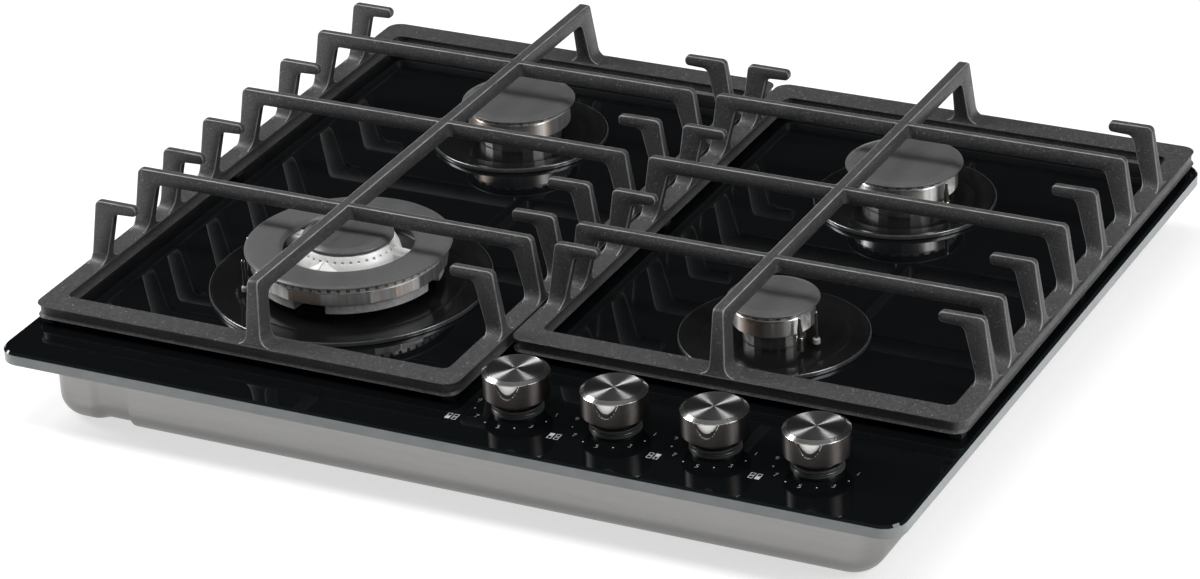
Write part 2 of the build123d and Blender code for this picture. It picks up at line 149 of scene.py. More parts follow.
def divided(surface, kind, count):
    """A surface as count surfaces on the same points: number k has the faces whose middles are of kind k."""
    points, faces = surface
    kinds = kind(points[np.array(faces)].mean(1))
    return [(points, [face for face, own in zip(faces, kinds) if own == k]) for k in range(count)]


def on_glass(surface):
    """Raises a surface made from the glass top up to its height in the frame."""
    points, faces = surface
    return points + np.array([0, 0, GLASS_TOP]), faces


def joined(name, surfaces):
    """One mesh of surfaces in millimetres, and for each of its faces the number of its surface."""
    points, faces, numbers, start = [], [], [], 0
    for number, (own_points, own_faces) in enumerate(surfaces):
        points.append(own_points)
        faces += [[start + corner for corner in face] for face in own_faces]
        numbers += [number] * len(own_faces)
        start += len(own_points)
    mesh = bpy.data.meshes.new(name)
    mesh.from_pydata((np.concatenate(points) * MM).tolist(), [], faces)
    return mesh, numbers


def clean(mesh):
    """Merges points that coincide, drops faces without area and turns the others outward."""
    shape = bmesh.new()
    shape.from_mesh(mesh)
    bmesh.ops.remove_doubles(shape, verts=shape.verts, dist=MERGE)
    bmesh.ops.dissolve_degenerate(shape, edges=shape.edges, dist=NO_AREA)
    bmesh.ops.recalc_face_normals(shape, faces=shape.faces)
    shape.to_mesh(mesh)
    shape.free()


def add_piece(name, surfaces, body, finishes, replaced=(), smooth=35.0, wear_and_highlight=None):
    """Makes one mesh object of some surfaces in millimetres and hangs it on a body of the frame.

    finishes is a list of names; surface k takes finish k where there are as many, or else the first. The last
    argument is an optional list of arrays, one number for each point, kept as an attribute: the wear and
    painted highlight of rounded edges.
    """
    mesh, numbers = joined(name, surfaces)
    if len(finishes) == len(surfaces):
        mesh.polygons.foreach_set("material_index", numbers)
    if wear_and_highlight is not None:
        worn_and_highlit = mesh.attributes.new("wear_and_highlight", "FLOAT", "POINT")
        worn_and_highlit.data.foreach_set("value", np.concatenate(wear_and_highlight).astype(np.float32))
    clean(mesh)
    mesh.shade_smooth()
    mesh.set_sharp_from_angle(angle=radians(smooth))
    for finish_name in finishes:
        mesh.materials.append(FINISH[finish_name])
    piece = bpy.data.objects.new(name, mesh)
    bpy.context.scene.collection.objects.link(piece)
    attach(piece, body)
    if replaced:
        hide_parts(*replaced)
    return piece


# ------------------------------------------------------------------ camera, light and floor

LENS, SENSOR = 133.483, 36.0
CLIP_NEAR, CLIP_FAR = 0.1, 100.0
CAMERA_AT = (1.138335, -2.195026, 1.272165)
CAMERA_TURN, CAMERA_DOWN, CAMERA_ROLL = radians(27.662), radians(26.713), radians(-2.994)
LAMP_TARGET = Vector((0.0, 0.0, 0.03))

# ---- the room that gloss mirrors: places on the ramp from straight down, 0, to straight up, 1
HORIZON, WALL_LOW = 0.5, 0.52
CEILING = ((0.88, 0.02), (0.95, 0.12), (1.0, 0.15))
WALL_LEVEL = 0.02

# ---- diffuse light from the sides, and what is added straight from above
SKY_SIDE, SKY_TOP = 0.1, 0.25

FLOOR_HALF, FLOOR_Z = 6.0, -0.0005
FLOOR_LEVEL, FLOOR_ROUGH, FLOOR_GLOW = 0.45, 0.9, 0.62


def add_camera():
    """The camera of the photograph: its place, heading, tilt and roll, worked out from the part's edges."""
    level = Vector((cos(CAMERA_TURN), sin(CAMERA_TURN), 0))
    forward = cos(CAMERA_DOWN)
    ahead = Vector((-sin(CAMERA_TURN) * forward, cos(CAMERA_TURN) * forward, -sin(CAMERA_DOWN)))
    right = cos(CAMERA_ROLL) * level + sin(CAMERA_ROLL) * level.cross(ahead)
    turn = Matrix((right, right.cross(ahead), -ahead)).transposed()
    lens = bpy.data.cameras.new("camera")
    lens.lens, lens.sensor_width, lens.sensor_fit = LENS, SENSOR, "HORIZONTAL"
    lens.clip_start, lens.clip_end = CLIP_NEAR, CLIP_FAR
    camera = bpy.data.objects.new("camera", lens)
    camera.matrix_world = Matrix.Translation(CAMERA_AT) @ turn.to_4x4()
    bpy.context.scene.collection.objects.link(camera)
    bpy.context.scene.camera = camera


def add_lamp(name, place, size, power, mirrored=True):
    """A rectangular soft box aimed at the middle of the part; gloss shows it only where it is mirrored."""
    lamp = bpy.data.lights.new(name, "AREA")
    lamp.shape, lamp.size, lamp.size_y, lamp.energy = "RECTANGLE", size[0], size[1], power
    box = bpy.data.objects.new(name, lamp)
    turn = (LAMP_TARGET - Vector(place)).to_track_quat("-Z", "Y")
    box.matrix_world = Matrix.Translation(place) @ turn.to_matrix().to_4x4()
    box.visible_glossy = mirrored
    bpy.context.scene.collection.objects.link(box)


def grey(level):
    """A neutral colour of a level."""
    return level, level, level


def math_node(tree, operation, *values, clamp=False):
    """The result of a math node on values that are sockets or numbers."""
    node = tree.nodes.new("ShaderNodeMath")
    node.operation, node.use_clamp = operation, clamp
    for socket, value in zip(node.inputs, values):
        if isinstance(value, bpy.types.NodeSocket):
            tree.links.new(value, socket)
        else:
            socket.default_value = value
    return node.outputs[0]


def seen_by(tree, first, second):
    """1 for rays of either of two kinds, 0 for all others."""
    path = tree.nodes.new("ShaderNodeLightPath")
    return math_node(tree, "MAXIMUM", path.outputs[first], path.outputs[second])


def background(tree, colour=None):
    """A world background of a colour that a socket gives, or else white."""
    node = tree.nodes.new("ShaderNodeBackground")
    if colour:
        tree.links.new(colour, node.inputs["Color"])
    else:
        node.inputs["Color"].default_value = (*grey(1.0), 1)
    return node.outputs[0]


def mixed_shader(tree, factor, below, above):
    """The shader above where the factor is 1, the one below where it is 0."""
    node = tree.nodes.new("ShaderNodeMixShader")
    for socket, value in zip(node.inputs, (factor, below, above)):
        tree.links.new(value, socket)
    return node.outputs[0]


def set_studio():
    """World light: even and soft on matt surfaces, a white background, and a dark room above it for gloss.

    Mirror-like surfaces see white at and below the horizon, then dark walls and a dim ceiling. Diffuse light
    grows with the square of the direction's height, from SKY_SIDE by SKY_TOP.
    """
    world = bpy.data.worlds.new("studio")
    bpy.context.scene.world = world
    world.use_nodes = True
    tree = world.node_tree
    tree.nodes.clear()
    direction, parts = tree.nodes.new("ShaderNodeTexCoord"), tree.nodes.new("ShaderNodeSeparateXYZ")
    tree.links.new(direction.outputs["Generated"], parts.inputs[0])
    height = parts.outputs["Z"]
    ramp = tree.nodes.new("ShaderNodeValToRGB")
    stops = ramp.color_ramp.elements
    stops[0].position, stops[0].color = HORIZON, (*grey(1.0), 1)
    stops[1].position, stops[1].color = WALL_LOW, (*grey(WALL_LEVEL), 1)
    for place, level in CEILING:
        stops.new(place).color = (*grey(level), 1)
    tree.links.new(math_node(tree, "MULTIPLY_ADD", height, 0.5, 0.5), ramp.inputs[0])
    squared = math_node(tree, "POWER", height, 2.0, clamp=True)
    even = background(tree, math_node(tree, "MULTIPLY_ADD", squared, SKY_TOP, SKY_SIDE))
    room = background(tree, ramp.outputs[0])
    path = tree.nodes.new("ShaderNodeLightPath")
    lit = mixed_shader(tree, seen_by(tree, "Is Glossy Ray", "Is Transmission Ray"), even, room)
    whole = mixed_shader(tree, path.outputs["Is Camera Ray"], lit, background(tree))
    tree.links.new(whole, tree.nodes.new("ShaderNodeOutputWorld").inputs[0])


def add_floor():
    """A pale floor under the part: white where the camera or a mirror sees it, and it keeps the shadow."""
    mesh = bpy.data.meshes.new("floor")
    corners = [(x * FLOOR_HALF, y * FLOOR_HALF, FLOOR_Z) for x, y in ((-1, -1), (1, -1), (1, 1), (-1, 1))]
    mesh.from_pydata(corners, [], [(0, 1, 2, 3)])
    floor = bpy.data.objects.new("floor", mesh)
    bpy.context.scene.collection.objects.link(floor)
    material = bpy.data.materials.new("floor_paper")
    material.use_nodes = True
    tree = material.node_tree
    shader = tree.nodes["Principled BSDF"]
    shader.inputs["Base Color"].default_value = (*grey(FLOOR_LEVEL), 1)
    shader.inputs["Roughness"].default_value = FLOOR_ROUGH
    shader.inputs["Emission Color"].default_value = (*grey(1.0), 1)
    glow = math_node(tree, "MULTIPLY", seen_by(tree, "Is Camera Ray", "Is Glossy Ray"), FLOOR_GLOW)
    tree.links.new(glow, shader.inputs["Emission Strength"])
    mesh.materials.append(material)


# ------------------------------------------------------------------ finishes

FINISH = {}

# ---- noise levels between which a share goes from 0 to 1
NOISE_RANGE, PATCH_RANGE, SPECK_RANGE, WEAR_HIGHLIGHT_RANGE = (0.3, 0.7), (0.5, 0.6), (0.66, 0.74), (0.1, 0.6)
FINE_DETAIL, BROAD_DETAIL, BROAD_SIZE = 4.0, 3.0, 12
RELIEF, LEAST_ROUGH, QUARTER_TURN = 0.6, 0.02, 0.25

# ---- the colour sockets of a mix node
MIX_A, MIX_B, MIX_RESULT = 6, 7, 2


def mapped(tree, value, low, high, to_low=0.0, to_high=1.0):
    """A value carried from one range to another and kept inside it."""
    node = tree.nodes.new("ShaderNodeMapRange")
    node.inputs["From Min"].default_value, node.inputs["From Max"].default_value = low, high
    node.inputs["To Min"].default_value, node.inputs["To Max"].default_value = to_low, to_high
    tree.links.new(value, node.inputs["Value"])
    return node.outputs[0]


def laid_over(tree, below, factor, colour):
    """The colour laid over what is below, as much as the factor says."""
    mix = tree.nodes.new("ShaderNodeMix")
    mix.data_type = "RGBA"
    tree.links.new(factor, mix.inputs["Factor"])
    tree.links.new(below, mix.inputs[MIX_A])
    mix.inputs[MIX_B].default_value = (*colour, 1)
    return mix.outputs[MIX_RESULT]


def finish(name, colour, rough, metal=0.0, spread=0.12, grain=300.0, bump=0.02, rough_spread=0.1,
           stretch=(1, 1, 1), edge=None, patch=None, specks=None, **sockets):
    """A finish on Object coordinates, kept in FINISH under its name.

    Colour is the base colour times 1 - spread ... 1 + spread by a soft noise, roughness likewise by a second,
    coarser one, and bump comes from the fine grain. edge is the colour of the points whose attribute of worn
    edges is 1, lighter rounded edges that are partly wear and partly a painted highlight; patch is that of
    broad blotches where the coarse noise is high, and specks that of dots where the fine one peaks.
    """
    material = bpy.data.materials.new(name)
    material.use_nodes = True
    tree = material.node_tree
    shader = tree.nodes["Principled BSDF"]
    place, mapping = tree.nodes.new("ShaderNodeTexCoord"), tree.nodes.new("ShaderNodeMapping")
    mapping.inputs["Scale"].default_value = stretch
    tree.links.new(place.outputs["Object"], mapping.inputs["Vector"])

    def noise(scale, detail):
        """A soft noise, stretched as the finish is."""
        node = tree.nodes.new("ShaderNodeTexNoise")
        node.inputs["Scale"].default_value, node.inputs["Detail"].default_value = scale, detail
        tree.links.new(mapping.outputs[0], node.inputs["Vector"])
        return node.outputs["Fac"]

    fine, broad = noise(grain, FINE_DETAIL), noise(grain / BROAD_SIZE, BROAD_DETAIL)
    tint = tree.nodes.new("ShaderNodeMix")
    tint.data_type, tint.blend_type = "RGBA", "MULTIPLY"
    tint.inputs["Factor"].default_value = 1.0
    tint.inputs[MIX_A].default_value = (*colour, 1)
    tree.links.new(mapped(tree, fine, *NOISE_RANGE, 1 - spread, 1 + spread), tint.inputs[MIX_B])
    result = tint.outputs[MIX_RESULT]
    if patch:
        result = laid_over(tree, result, mapped(tree, broad, *PATCH_RANGE), patch)
    if specks:
        result = laid_over(tree, result, mapped(tree, fine, *SPECK_RANGE), specks)
    # rounded edges turned lighter: wear together with a painted highlight
    if edge:
        wear_and_highlight = tree.nodes.new("ShaderNodeAttribute")
        wear_and_highlight.attribute_name = "wear_and_highlight"
        worn_and_highlit = math_node(tree, "MULTIPLY", wear_and_highlight.outputs["Fac"], mapped(tree, broad, *WEAR_HIGHLIGHT_RANGE))
        result = laid_over(tree, result, worn_and_highlit, edge)
    tree.links.new(result, shader.inputs["Base Color"])
    rough_range = max(rough - rough_spread, LEAST_ROUGH), min(rough + rough_spread, 1.0)
    tree.links.new(mapped(tree, broad, *NOISE_RANGE, *rough_range), shader.inputs["Roughness"])
    relief = tree.nodes.new("ShaderNodeBump")
    relief.inputs["Strength"].default_value, relief.inputs["Distance"].default_value = RELIEF, bump * MM
    tree.links.new(fine, relief.inputs["Height"])
    tree.links.new(relief.outputs[0], shader.inputs["Normal"])
    shader.inputs["Metallic"].default_value = metal
    for socket, value in sockets.items():
        shader.inputs[socket.replace("_", " ")].default_value = value
    FINISH[name] = material


def lathe_marks(name, amount):
    """Gives a turned metal its streaks: highlights stretched across the circular tool marks."""
    tree = FINISH[name].node_tree
    shader = tree.nodes["Principled BSDF"]
    around = tree.nodes.new("ShaderNodeTangent")
    around.direction_type, around.axis = "RADIAL", "Z"
    tree.links.new(around.outputs[0], shader.inputs["Tangent"])
    shader.inputs["Anisotropic"].default_value = amount
    shader.inputs["Anisotropic Rotation"].default_value = QUARTER_TURN


def by_height(name, levels):
    """Adds a colour by height to a finish: levels are (height in millimetres, colour), the highest last."""
    tree = FINISH[name].node_tree
    shader = tree.nodes["Principled BSDF"]
    place, parts = tree.nodes.new("ShaderNodeTexCoord"), tree.nodes.new("ShaderNodeSeparateXYZ")
    tree.links.new(place.outputs["Object"], parts.inputs[0])
    result = shader.inputs["Base Color"].links[0].from_socket
    for height, colour in levels:
        above = math_node(tree, "GREATER_THAN", parts.outputs["Z"], height * MM)
        result = laid_over(tree, result, above, colour)
    tree.links.new(result, shader.inputs["Base Color"])


GLASS_SIDE, GLASS_GROUND, GLASS_BLACK = (0.32, 0.34, 0.345), (0.006, 0.009, 0.009), (0.0025, 0.003, 0.0035)
GROUND_LOW, GROUND_HIGH = GLASS_TOP - 1.52, GLASS_TOP - 0.05
# lighter colour of the rounded cast edges: partly wear, partly a painted highlight
WORN_HIGHLIT_CAST = (0.34, 0.34, 0.335)
SPECK = (0.34, 0.34, 0.34)
HEAT_BROWN = (0.6, 0.5, 0.43)


def make_finishes():
    """Every finish of the part: name, colour, roughness, metal, then how much and how finely they vary."""
    finish("cast_enamel", grey(0.058), 0.42, 0, 0.4, 900.0, 0.14, 0.08, edge=WORN_HIGHLIT_CAST, specks=SPECK)
    finish("cap_enamel", (0.1, 0.101, 0.101), 0.36, 0, 0.12, 700.0, 0.03, 0.06,
           Coat_Weight=0.3, Coat_Roughness=0.2)
    finish("dish_enamel", (0.006, 0.006, 0.0065), 0.17, 0, 0.2, 500.0, 0.01, 0.04)
    # a lighter, metallic copy of the black dish enamel for the rounded rim: a painted highlight
    finish("dish_rim_highlight", (0.2, 0.205, 0.21), 0.2, 0.8, 0.15, 500.0, 0.01, 0.04)
    finish("glass", GLASS_SIDE, 0.04, 0, 0.1, 60.0, 0.0, 0.02)
    by_height("glass", ((GROUND_LOW, GLASS_GROUND), (GROUND_HIGH, GLASS_BLACK)))
    finish("tray_steel", (0.27, 0.267, 0.262), 0.34, 1, 0.05, 220.0, 0.015, 0.05, stretch=(1, 1, 25))
    finish("crown_alloy", (0.92, 0.92, 0.91), 0.36, 0.1, 0.05, 500.0, 0.02, 0.08)
    finish("port_alloy", (0.85, 0.84, 0.83), 0.34, 0.3, 0.1, 500.0, 0.02, 0.08)
    finish("skirt_alloy", (0.62, 0.62, 0.61), 0.42, 0.3, 0.15, 400.0, 0.03, 0.1)
    # dark alloy: painted shade in the wok crown's well; the single crowns' foot and top take it too
    finish("well_alloy", grey(0.1), 0.45, 0.6, 0.2, 400.0, 0.03, 0.1)
    finish("polished_alloy", (0.88, 0.88, 0.87), 0.36, 0.9, 0.16, 500.0, 0.006, 0.06,
           stretch=(1, 1, 0.04), patch=HEAT_BROWN)
    lathe_marks("polished_alloy", 0.9)
    finish("cast_alloy", (0.45, 0.45, 0.44), 0.45, 1, 0.2, 500.0, 0.06, 0.1)
    finish("knob_face", grey(0.62), 0.39, 1, 0.05, 300.0, 0.002, 0.02)
    lathe_marks("knob_face", 0.98)
    finish("knob_rim", (0.8, 0.8, 0.79), 0.16, 1, 0.03, 300.0, 0.003, 0.02)
    finish("knob_side", (0.11, 0.1, 0.095), 0.43, 1, 0.08, 300.0, 0.002, 0.03)
    lathe_marks("knob_side", 0.95)
    # bright metal in the knob's finger scoop: a painted reflection
    finish("knob_scoop_reflection", (0.95, 0.93, 0.89), 0.3, 0.8, 0.03, 400.0, 0.005, 0.05)
    finish("bezel_grey", (0.06, 0.062, 0.062), 0.3, 0, 0.1, 700.0, 0.02, 0.05)
    finish("ceramic", (0.42, 0.41, 0.39), 0.3, 0, 0.06, 500.0, 0.01, 0.08)
    finish("probe_steel", (0.62, 0.6, 0.57), 0.25, 1, 0.1, 500.0, 0.01, 0.08)
    finish("probe_dark", (0.13, 0.115, 0.1), 0.35, 0.7, 0.3, 500.0, 0.02, 0.1)
    finish("zinc", (0.55, 0.56, 0.56), 0.4, 1, 0.14, 260.0, 0.02, 0.1)
    finish("brass", (0.72, 0.53, 0.25), 0.28, 1, 0.1, 320.0, 0.01, 0.08)
    finish("rubber", grey(0.02), 0.7, 0, 0.2, 500.0, 0.03, 0.1)
    finish("foam", grey(0.09), 0.85, 0, 0.3, 600.0, 0.1, 0.1)
    finish("black_plastic", (0.025, 0.025, 0.026), 0.45, 0, 0.15, 700.0, 0.02, 0.08)
    finish("white_plastic", (0.72, 0.72, 0.7), 0.42, 0, 0.05, 600.0, 0.02, 0.08)
    finish("print_white", grey(0.42), 0.5, 0, 0.08, 2000.0, 0.0, 0.05)


SLOT_FINISH = {
    "glass_black": "glass", "tray_steel": "tray_steel", "seal_foam": "foam", "zinc_steel": "zinc",
    "dish_enamel": "dish_enamel", "cast_alloy": "cast_alloy", "jet_brass": "brass",
    "bezel_grey": "bezel_grey", "tap_alloy": "cast_alloy", "switch_black": "black_plastic",
    "plug_ceramic": "ceramic", "plug_steel": "probe_steel", "probe_steel": "probe_steel",
    "rail_steel": "zinc", "pipe_aluminium": "cast_alloy", "generator_case": "black_plastic",
    "terminal_plastic": "white_plastic", "gland_plastic": "black_plastic",
    "crown_aluminium": "crown_alloy", "cap_enamel": "cap_enamel", "cast_iron_enamel": "cast_enamel",
    "foot_rubber": "rubber", "knob_metal": "knob_rim", "spindle_steel": "probe_steel",
    "plug_brass": "brass",
}


def finish_nodes():
    """Every node of the frame takes the finish of its material slot."""
    for item in frame["record"]["subparts"]:
        mesh = frame["nodes"][item["node"]].data
        mesh.materials.clear()
        mesh.materials.append(FINISH[SLOT_FINISH[item["material_slot"]]])


# ------------------------------------------------------------------ pan supports

# ---- roundings of cast edges; on a shallow blade one takes no more than MOST_ROUND of its depth
EDGE_ROUND, RING_ROUND, MOST_ROUND, TINY = 1.0, 1.6, 0.45, 1e-6
WINDOW_SIDE, WINDOW_FRONT, WINDOW_BACK = 13.5, 17.5, 19.3
RING_CORNER_R, WINDOW_R = 9.0, 5.0

# ---- blades: where they start inside the ring, and the height over which they flare into it
BLADE_START, POST_FOOT, FLARE_H = 9.0, 12.7, 7.0
FLARE_STEPS = [RING_TOP + rise for rise in (0.7, 1.8, 3.2, 5.0, 7.0)] + [30.0, 42.0]
POST_LEAST, ROW_GAP = 15.0, 0.1

# ---- half widths at the top and the root, and what the flare adds
BAR_HALF, SPINE_HALF = (2.4, 3.5, 7.0), (3.5, 5.0, 6.0)

# ---- posts of bars and fingers: the outer and inner line at the foot, and at the top
POST_OUT, POST_IN, LEAN_OUT, LEAN_IN = 2.2, 13.0, 8.2, 21.4
BAR_TOP, BAR_LOW = 53.66, 44.2
FINGER_REACH, FINGER_LOW = 36.7, 46.5

CROSSING_R, CROSSING_LAP = 3.0, 0.4
CROSSING_LOW, CROSSING_HIGH = 44.8, 53.35


def half_thickness(height, top, root, flare):
    """Half the width of a cast blade at a height.

    It grows straight from top to root with depth, and adds a fillet down to the ring:
    flare * (1 - sqrt(1 - t * t)), with t going from 0 at FLARE_H above the ring to 1 on it.
    """
    share = np.clip((SUPPORT_TOP - height) / (SUPPORT_TOP - RING_TOP - FLARE_H), 0, 1)
    near = np.clip((RING_TOP + FLARE_H - height) / FLARE_H, 0, 1)
    return top + (root - top) * share + flare * (1 - np.sqrt(1 - near * near))


def blade(outer, inner, widths, at, axis):
    """A cast blade between an outer and an inner line of (u, height), rounded along all four edges.

    Row i runs from the outer to the inner point i: a section whose corners are quarter circles of radius
    EDGE_ROUND, half as thick as half_thickness says at each end. axis is the one across which it is thick.
    """
    turn = np.radians([90, 45, 0])
    from_edge = EDGE_ROUND * (1 - np.sin(turn))
    inset = EDGE_ROUND * (1 - np.cos(turn))
    span = np.linalg.norm(inner - outer, axis=1)[:, None]
    step = np.minimum(from_edge[None], span * MOST_ROUND)
    along = np.hstack([step, span - step[:, ::-1], span - step, step[:, ::-1]])
    edge = np.hstack([inset, inset[::-1], inset, inset[::-1]])[None]
    side = np.array([1] * 6 + [-1] * 6)[None]
    share = along / np.maximum(span, TINY)
    plane = outer[:, None] + (inner - outer)[:, None] * share[..., None]
    half_out, half_in = (half_thickness(line[:, 1], *widths)[:, None] for line in (outer, inner))
    across = side * (half_out * (1 - share) + half_in * share - edge) + at
    order = (plane[..., 0], across) if axis == "y" else (across, plane[..., 0])
    # points along the middle of each rounded edge, which take wear and a painted highlight
    worn_and_highlit = np.repeat((np.abs(edge - inset[1]) < TINY) * 1.0, len(outer), 0)
    return skin(np.stack([*order, plane[..., 1]], -1)), worn_and_highlit.ravel()


def support_ring(front):
    """The base ring: a rounded section carried round between the outer and the window's outline."""
    outer = rounded_rectangle((RING_IN, front), (RING_OUT, RING_BACK), RING_CORNER_R)
    window_low = RING_IN + WINDOW_SIDE, front + WINDOW_FRONT
    window_high = RING_OUT - WINDOW_SIDE, RING_BACK - WINDOW_BACK
    inner = rounded_rectangle(window_low, window_high, WINDOW_R)
    turn = np.radians([0, 30, 60, 90])
    step, rise = RING_ROUND * (1 - np.sin(turn)), RING_ROUND * (1 - np.cos(turn))
    span = np.linalg.norm(inner - outer, axis=1)[:, None]
    near, far = step[None] + 0 * span, span - step[None]
    across = np.hstack([near, far[:, ::-1], far, near[:, ::-1]])
    height = np.hstack([RING_TOP - rise[::-1], RING_TOP - rise, RING_LOW + rise[::-1], RING_LOW + rise])
    share = across / span
    plane = outer[:, None] + (inner - outer)[:, None] * share[..., None]
    grid = np.concatenate([plane, np.repeat(height[None], len(outer), 0)[..., None]], -1)
    # the ring's rounded top edges take wear and a painted highlight; the underside takes none
    rounding = np.array([0.0, 1.0, 1.0, 0.0])
    below = np.zeros(2 * len(turn))
    worn_and_highlit = np.concatenate([rounding, rounding, below])
    return skin(grid, rows_closed=True), np.repeat(worn_and_highlit[None], len(outer), 0).ravel()


def finger_lines():
    """Outer and inner lines of a finger: a leaning post and a short arm over the window."""
    outer = [(POST_OUT, BLADE_START), (POST_OUT, POST_FOOT), (LEAN_OUT, SUPPORT_TOP, 3.5)]
    outer += [(FINGER_REACH, SUPPORT_TOP, 2.5), (FINGER_REACH, 50.3)]
    inner = [(POST_IN, BLADE_START), (POST_IN, POST_FOOT), (LEAN_IN, FINGER_LOW, 4.5)]
    inner += [(FINGER_REACH, 46.9, 2.5), (FINGER_REACH, 49.9)]
    return rounded_line(outer), rounded_line(inner)


def bar_lines():
    """Outer and inner lines of a full bar between two leaning posts."""

    def both(points):
        """The points and their mirror images in the ring's middle, from one end to the other."""
        return points + [(RING_IN + RING_OUT - p[0], *p[1:]) for p in reversed(points)]

    outer = both([(POST_OUT, BLADE_START), (POST_OUT, POST_FOOT), (LEAN_OUT, BAR_TOP, 3.5)])
    inner = both([(POST_IN, BLADE_START), (POST_IN, POST_FOOT), (LEAN_IN, BAR_LOW, 5.0)])
    return rounded_line(outer), rounded_line(inner)


def spine_lines(front):
    """Outer and inner lines of the spine, with a wider post at each end."""
    back = RING_BACK
    outer = [(front + 1.4, BLADE_START), (front + 1.4, POST_FOOT), (front + 6.4, SUPPORT_TOP, 3.5)]
    outer += [(back - 9.5, SUPPORT_TOP, 3.5), (back - 1.4, POST_FOOT), (back - 1.4, BLADE_START)]
    inner = [(front + 15.0, BLADE_START), (front + 15.5, 12.6), (front + 18.0, BAR_LOW, 6.0)]
    inner += [(back - 23.5, BAR_LOW, 6.0), (back - 15.5, 12.6), (back - 15.0, BLADE_START)]
    return rounded_line(outer), rounded_line(inner)


def matched(outer, inner):
    """Both lines with more rows near the ring, where the blades flare into it."""
    rows_out, rows_in = [outer[0]], [inner[0]]
    for a, b, c, d in zip(outer[:-1], outer[1:], inner[:-1], inner[1:]):
        low, high = sorted((a[1], b[1]))
        post = high - low > POST_LEAST
        cuts = [h for h in FLARE_STEPS if post and low + ROW_GAP < h < high - ROW_GAP]
        cuts.sort(reverse=a[1] > b[1])
        for h in cuts:
            share = (h - a[1]) / (b[1] - a[1])
            rows_out.append(a + (b - a) * share)
            rows_in.append(c + (d - c) * min(max((h - c[1]) / (d[1] - c[1]), 0), 1))
        rows_out.append(b)
        rows_in.append(d)
    return np.array(rows_out), np.array(rows_in)


def crossing_fillets(y):
    """Fillets in the four corners where a full bar crosses the spine.

    At each height the plan outline goes from inside the spine round a quarter circle of radius CROSSING_R,
    which touches both faces, and back through the corner inside the crossing.
    """
    height = np.linspace(CROSSING_LOW, CROSSING_HIGH, 6)[:, None]
    bar, spine = half_thickness(height, *BAR_HALF), half_thickness(height, *SPINE_HALF)
    turn = np.radians(np.linspace(0, 90, 8))[None]
    spine_in, bar_in = spine - CROSSING_LAP, bar - CROSSING_LAP
    u = np.hstack([spine_in, spine_in, spine + CROSSING_R * (1 - np.cos(turn)), spine + CROSSING_R])
    v = np.hstack([bar_in, bar + CROSSING_R, bar + CROSSING_R * (1 - np.sin(turn)), bar_in])
    grids = [
        np.stack([BURNER_X + across * u, y + along * v, height + 0 * u], -1)
        for across in (-1, 1) for along in (-1, 1)
    ]
    return [(skin(grid), np.zeros(grid.shape[0] * grid.shape[1])) for grid in grids]


def pan_support(side):
    """One cast support: the ring, a spine over the burners, full bars and pairs of fingers."""
    sign, front, bars, fingers = SUPPORTS[side].values()
    near = finger_lines()
    far = [np.stack([RING_IN + RING_OUT - line[:, 0], line[:, 1]], -1) for line in near]
    surfaces = [support_ring(front)]
    surfaces += [blade(*matched(*lines), BAR_HALF, y, "y") for y in fingers for lines in (near, far)]
    surfaces += [blade(*matched(*bar_lines()), BAR_HALF, y, "y") for y in bars]
    for y in bars:
        surfaces += crossing_fillets(y)
    surfaces.append(blade(*matched(*spine_lines(front)), SPINE_HALF, BURNER_X, "x"))
    shapes = [on_glass((points * np.array([sign, 1, 1]), faces)) for (points, faces), _ in surfaces]
    add_piece(f"cast_support_{side}", shapes, f"{side}_support", ["cast_enamel"],
              [f"pan_support_{side}"], smooth=40.0, wear_and_highlight=[worn_and_highlit for _, worn_and_highlit in surfaces])


# ------------------------------------------------------------------ tray

TRAY_W, TRAY_D, TRAY_TOP, SHEET, FLANGE = 544.0, 465.0, 41.8, 1.0, 6.0
TRAY_CORNER_R, TRAY_BOTTOM_R = 20.0, 15.0
WALL_MIDDLE, FLOOR_INSET = 28.0, 60.0
POCKET_START, POCKET_BEND, POCKET_END, POCKET_CREASE, POCKET_DEPTH = -243.5, 8.5, -215.6, 1.0, 4.5
POCKET_X = np.linspace(-246.0, -212.0, 69)
CLAMP_X, CLAMP_Y, CLAMP_HOLE_R = 200.0, 195.0, 2.1

# ---- square holes in the rear wall: x, z and half their width, for the inlet and the gland
REAR_HOLES = ((215.0, 21.0, 11.08), (120.0, 21.0, 6.5))
CUT_BEFORE, CUT_BEHIND = 4.0, 3.0
TRAY_SMOOTH = 32.0


def smooth_step(value, start, length):
    """0 before start, 1 after start + length, and 3t^2 - 2t^3 between."""
    share = np.clip((value - start) / length, 0, 1)
    return share * share * (3 - 2 * share)


def tray_row(inset, height):
    """Outline of the tray at an inset from its wall: a rounded rectangle, pressed in at the front pocket.

    There the front moves back by POCKET_DEPTH times a soft step at POCKET_START and a crease at POCKET_END.
    """
    x, y = TRAY_W / 2 - inset, TRAY_D / 2 - inset
    radius = max(TRAY_CORNER_R - inset, 1.0)
    front = [(max(u, radius - x), -y) for u in POCKET_X] + [(-100.0, -y), (100.0, -y)]
    corners = [(-x, -y, radius), *front, (x, -y, radius), (x, y, radius), (-x, y, radius)]
    plan = rounded_line(corners, steps=10)
    if inset > -SHEET:
        pressed = smooth_step(plan[:, 0], POCKET_START, POCKET_BEND)
        pressed *= 1 - smooth_step(plan[:, 0], POCKET_END, POCKET_CREASE)
        plan[:, 1] += np.where(plan[:, 1] < 0, POCKET_DEPTH * pressed, 0)
    return np.column_stack([plan, np.full(len(plan), height)])


def bottom_edge(radius, start):
    """Points (inset, height) of the rounded bottom edge, down the wall and onto the floor."""
    turn = np.radians(np.linspace(90, 0, 9))
    return [(start + radius * (1 - sin(a)), start + radius * (1 - cos(a))) for a in turn]


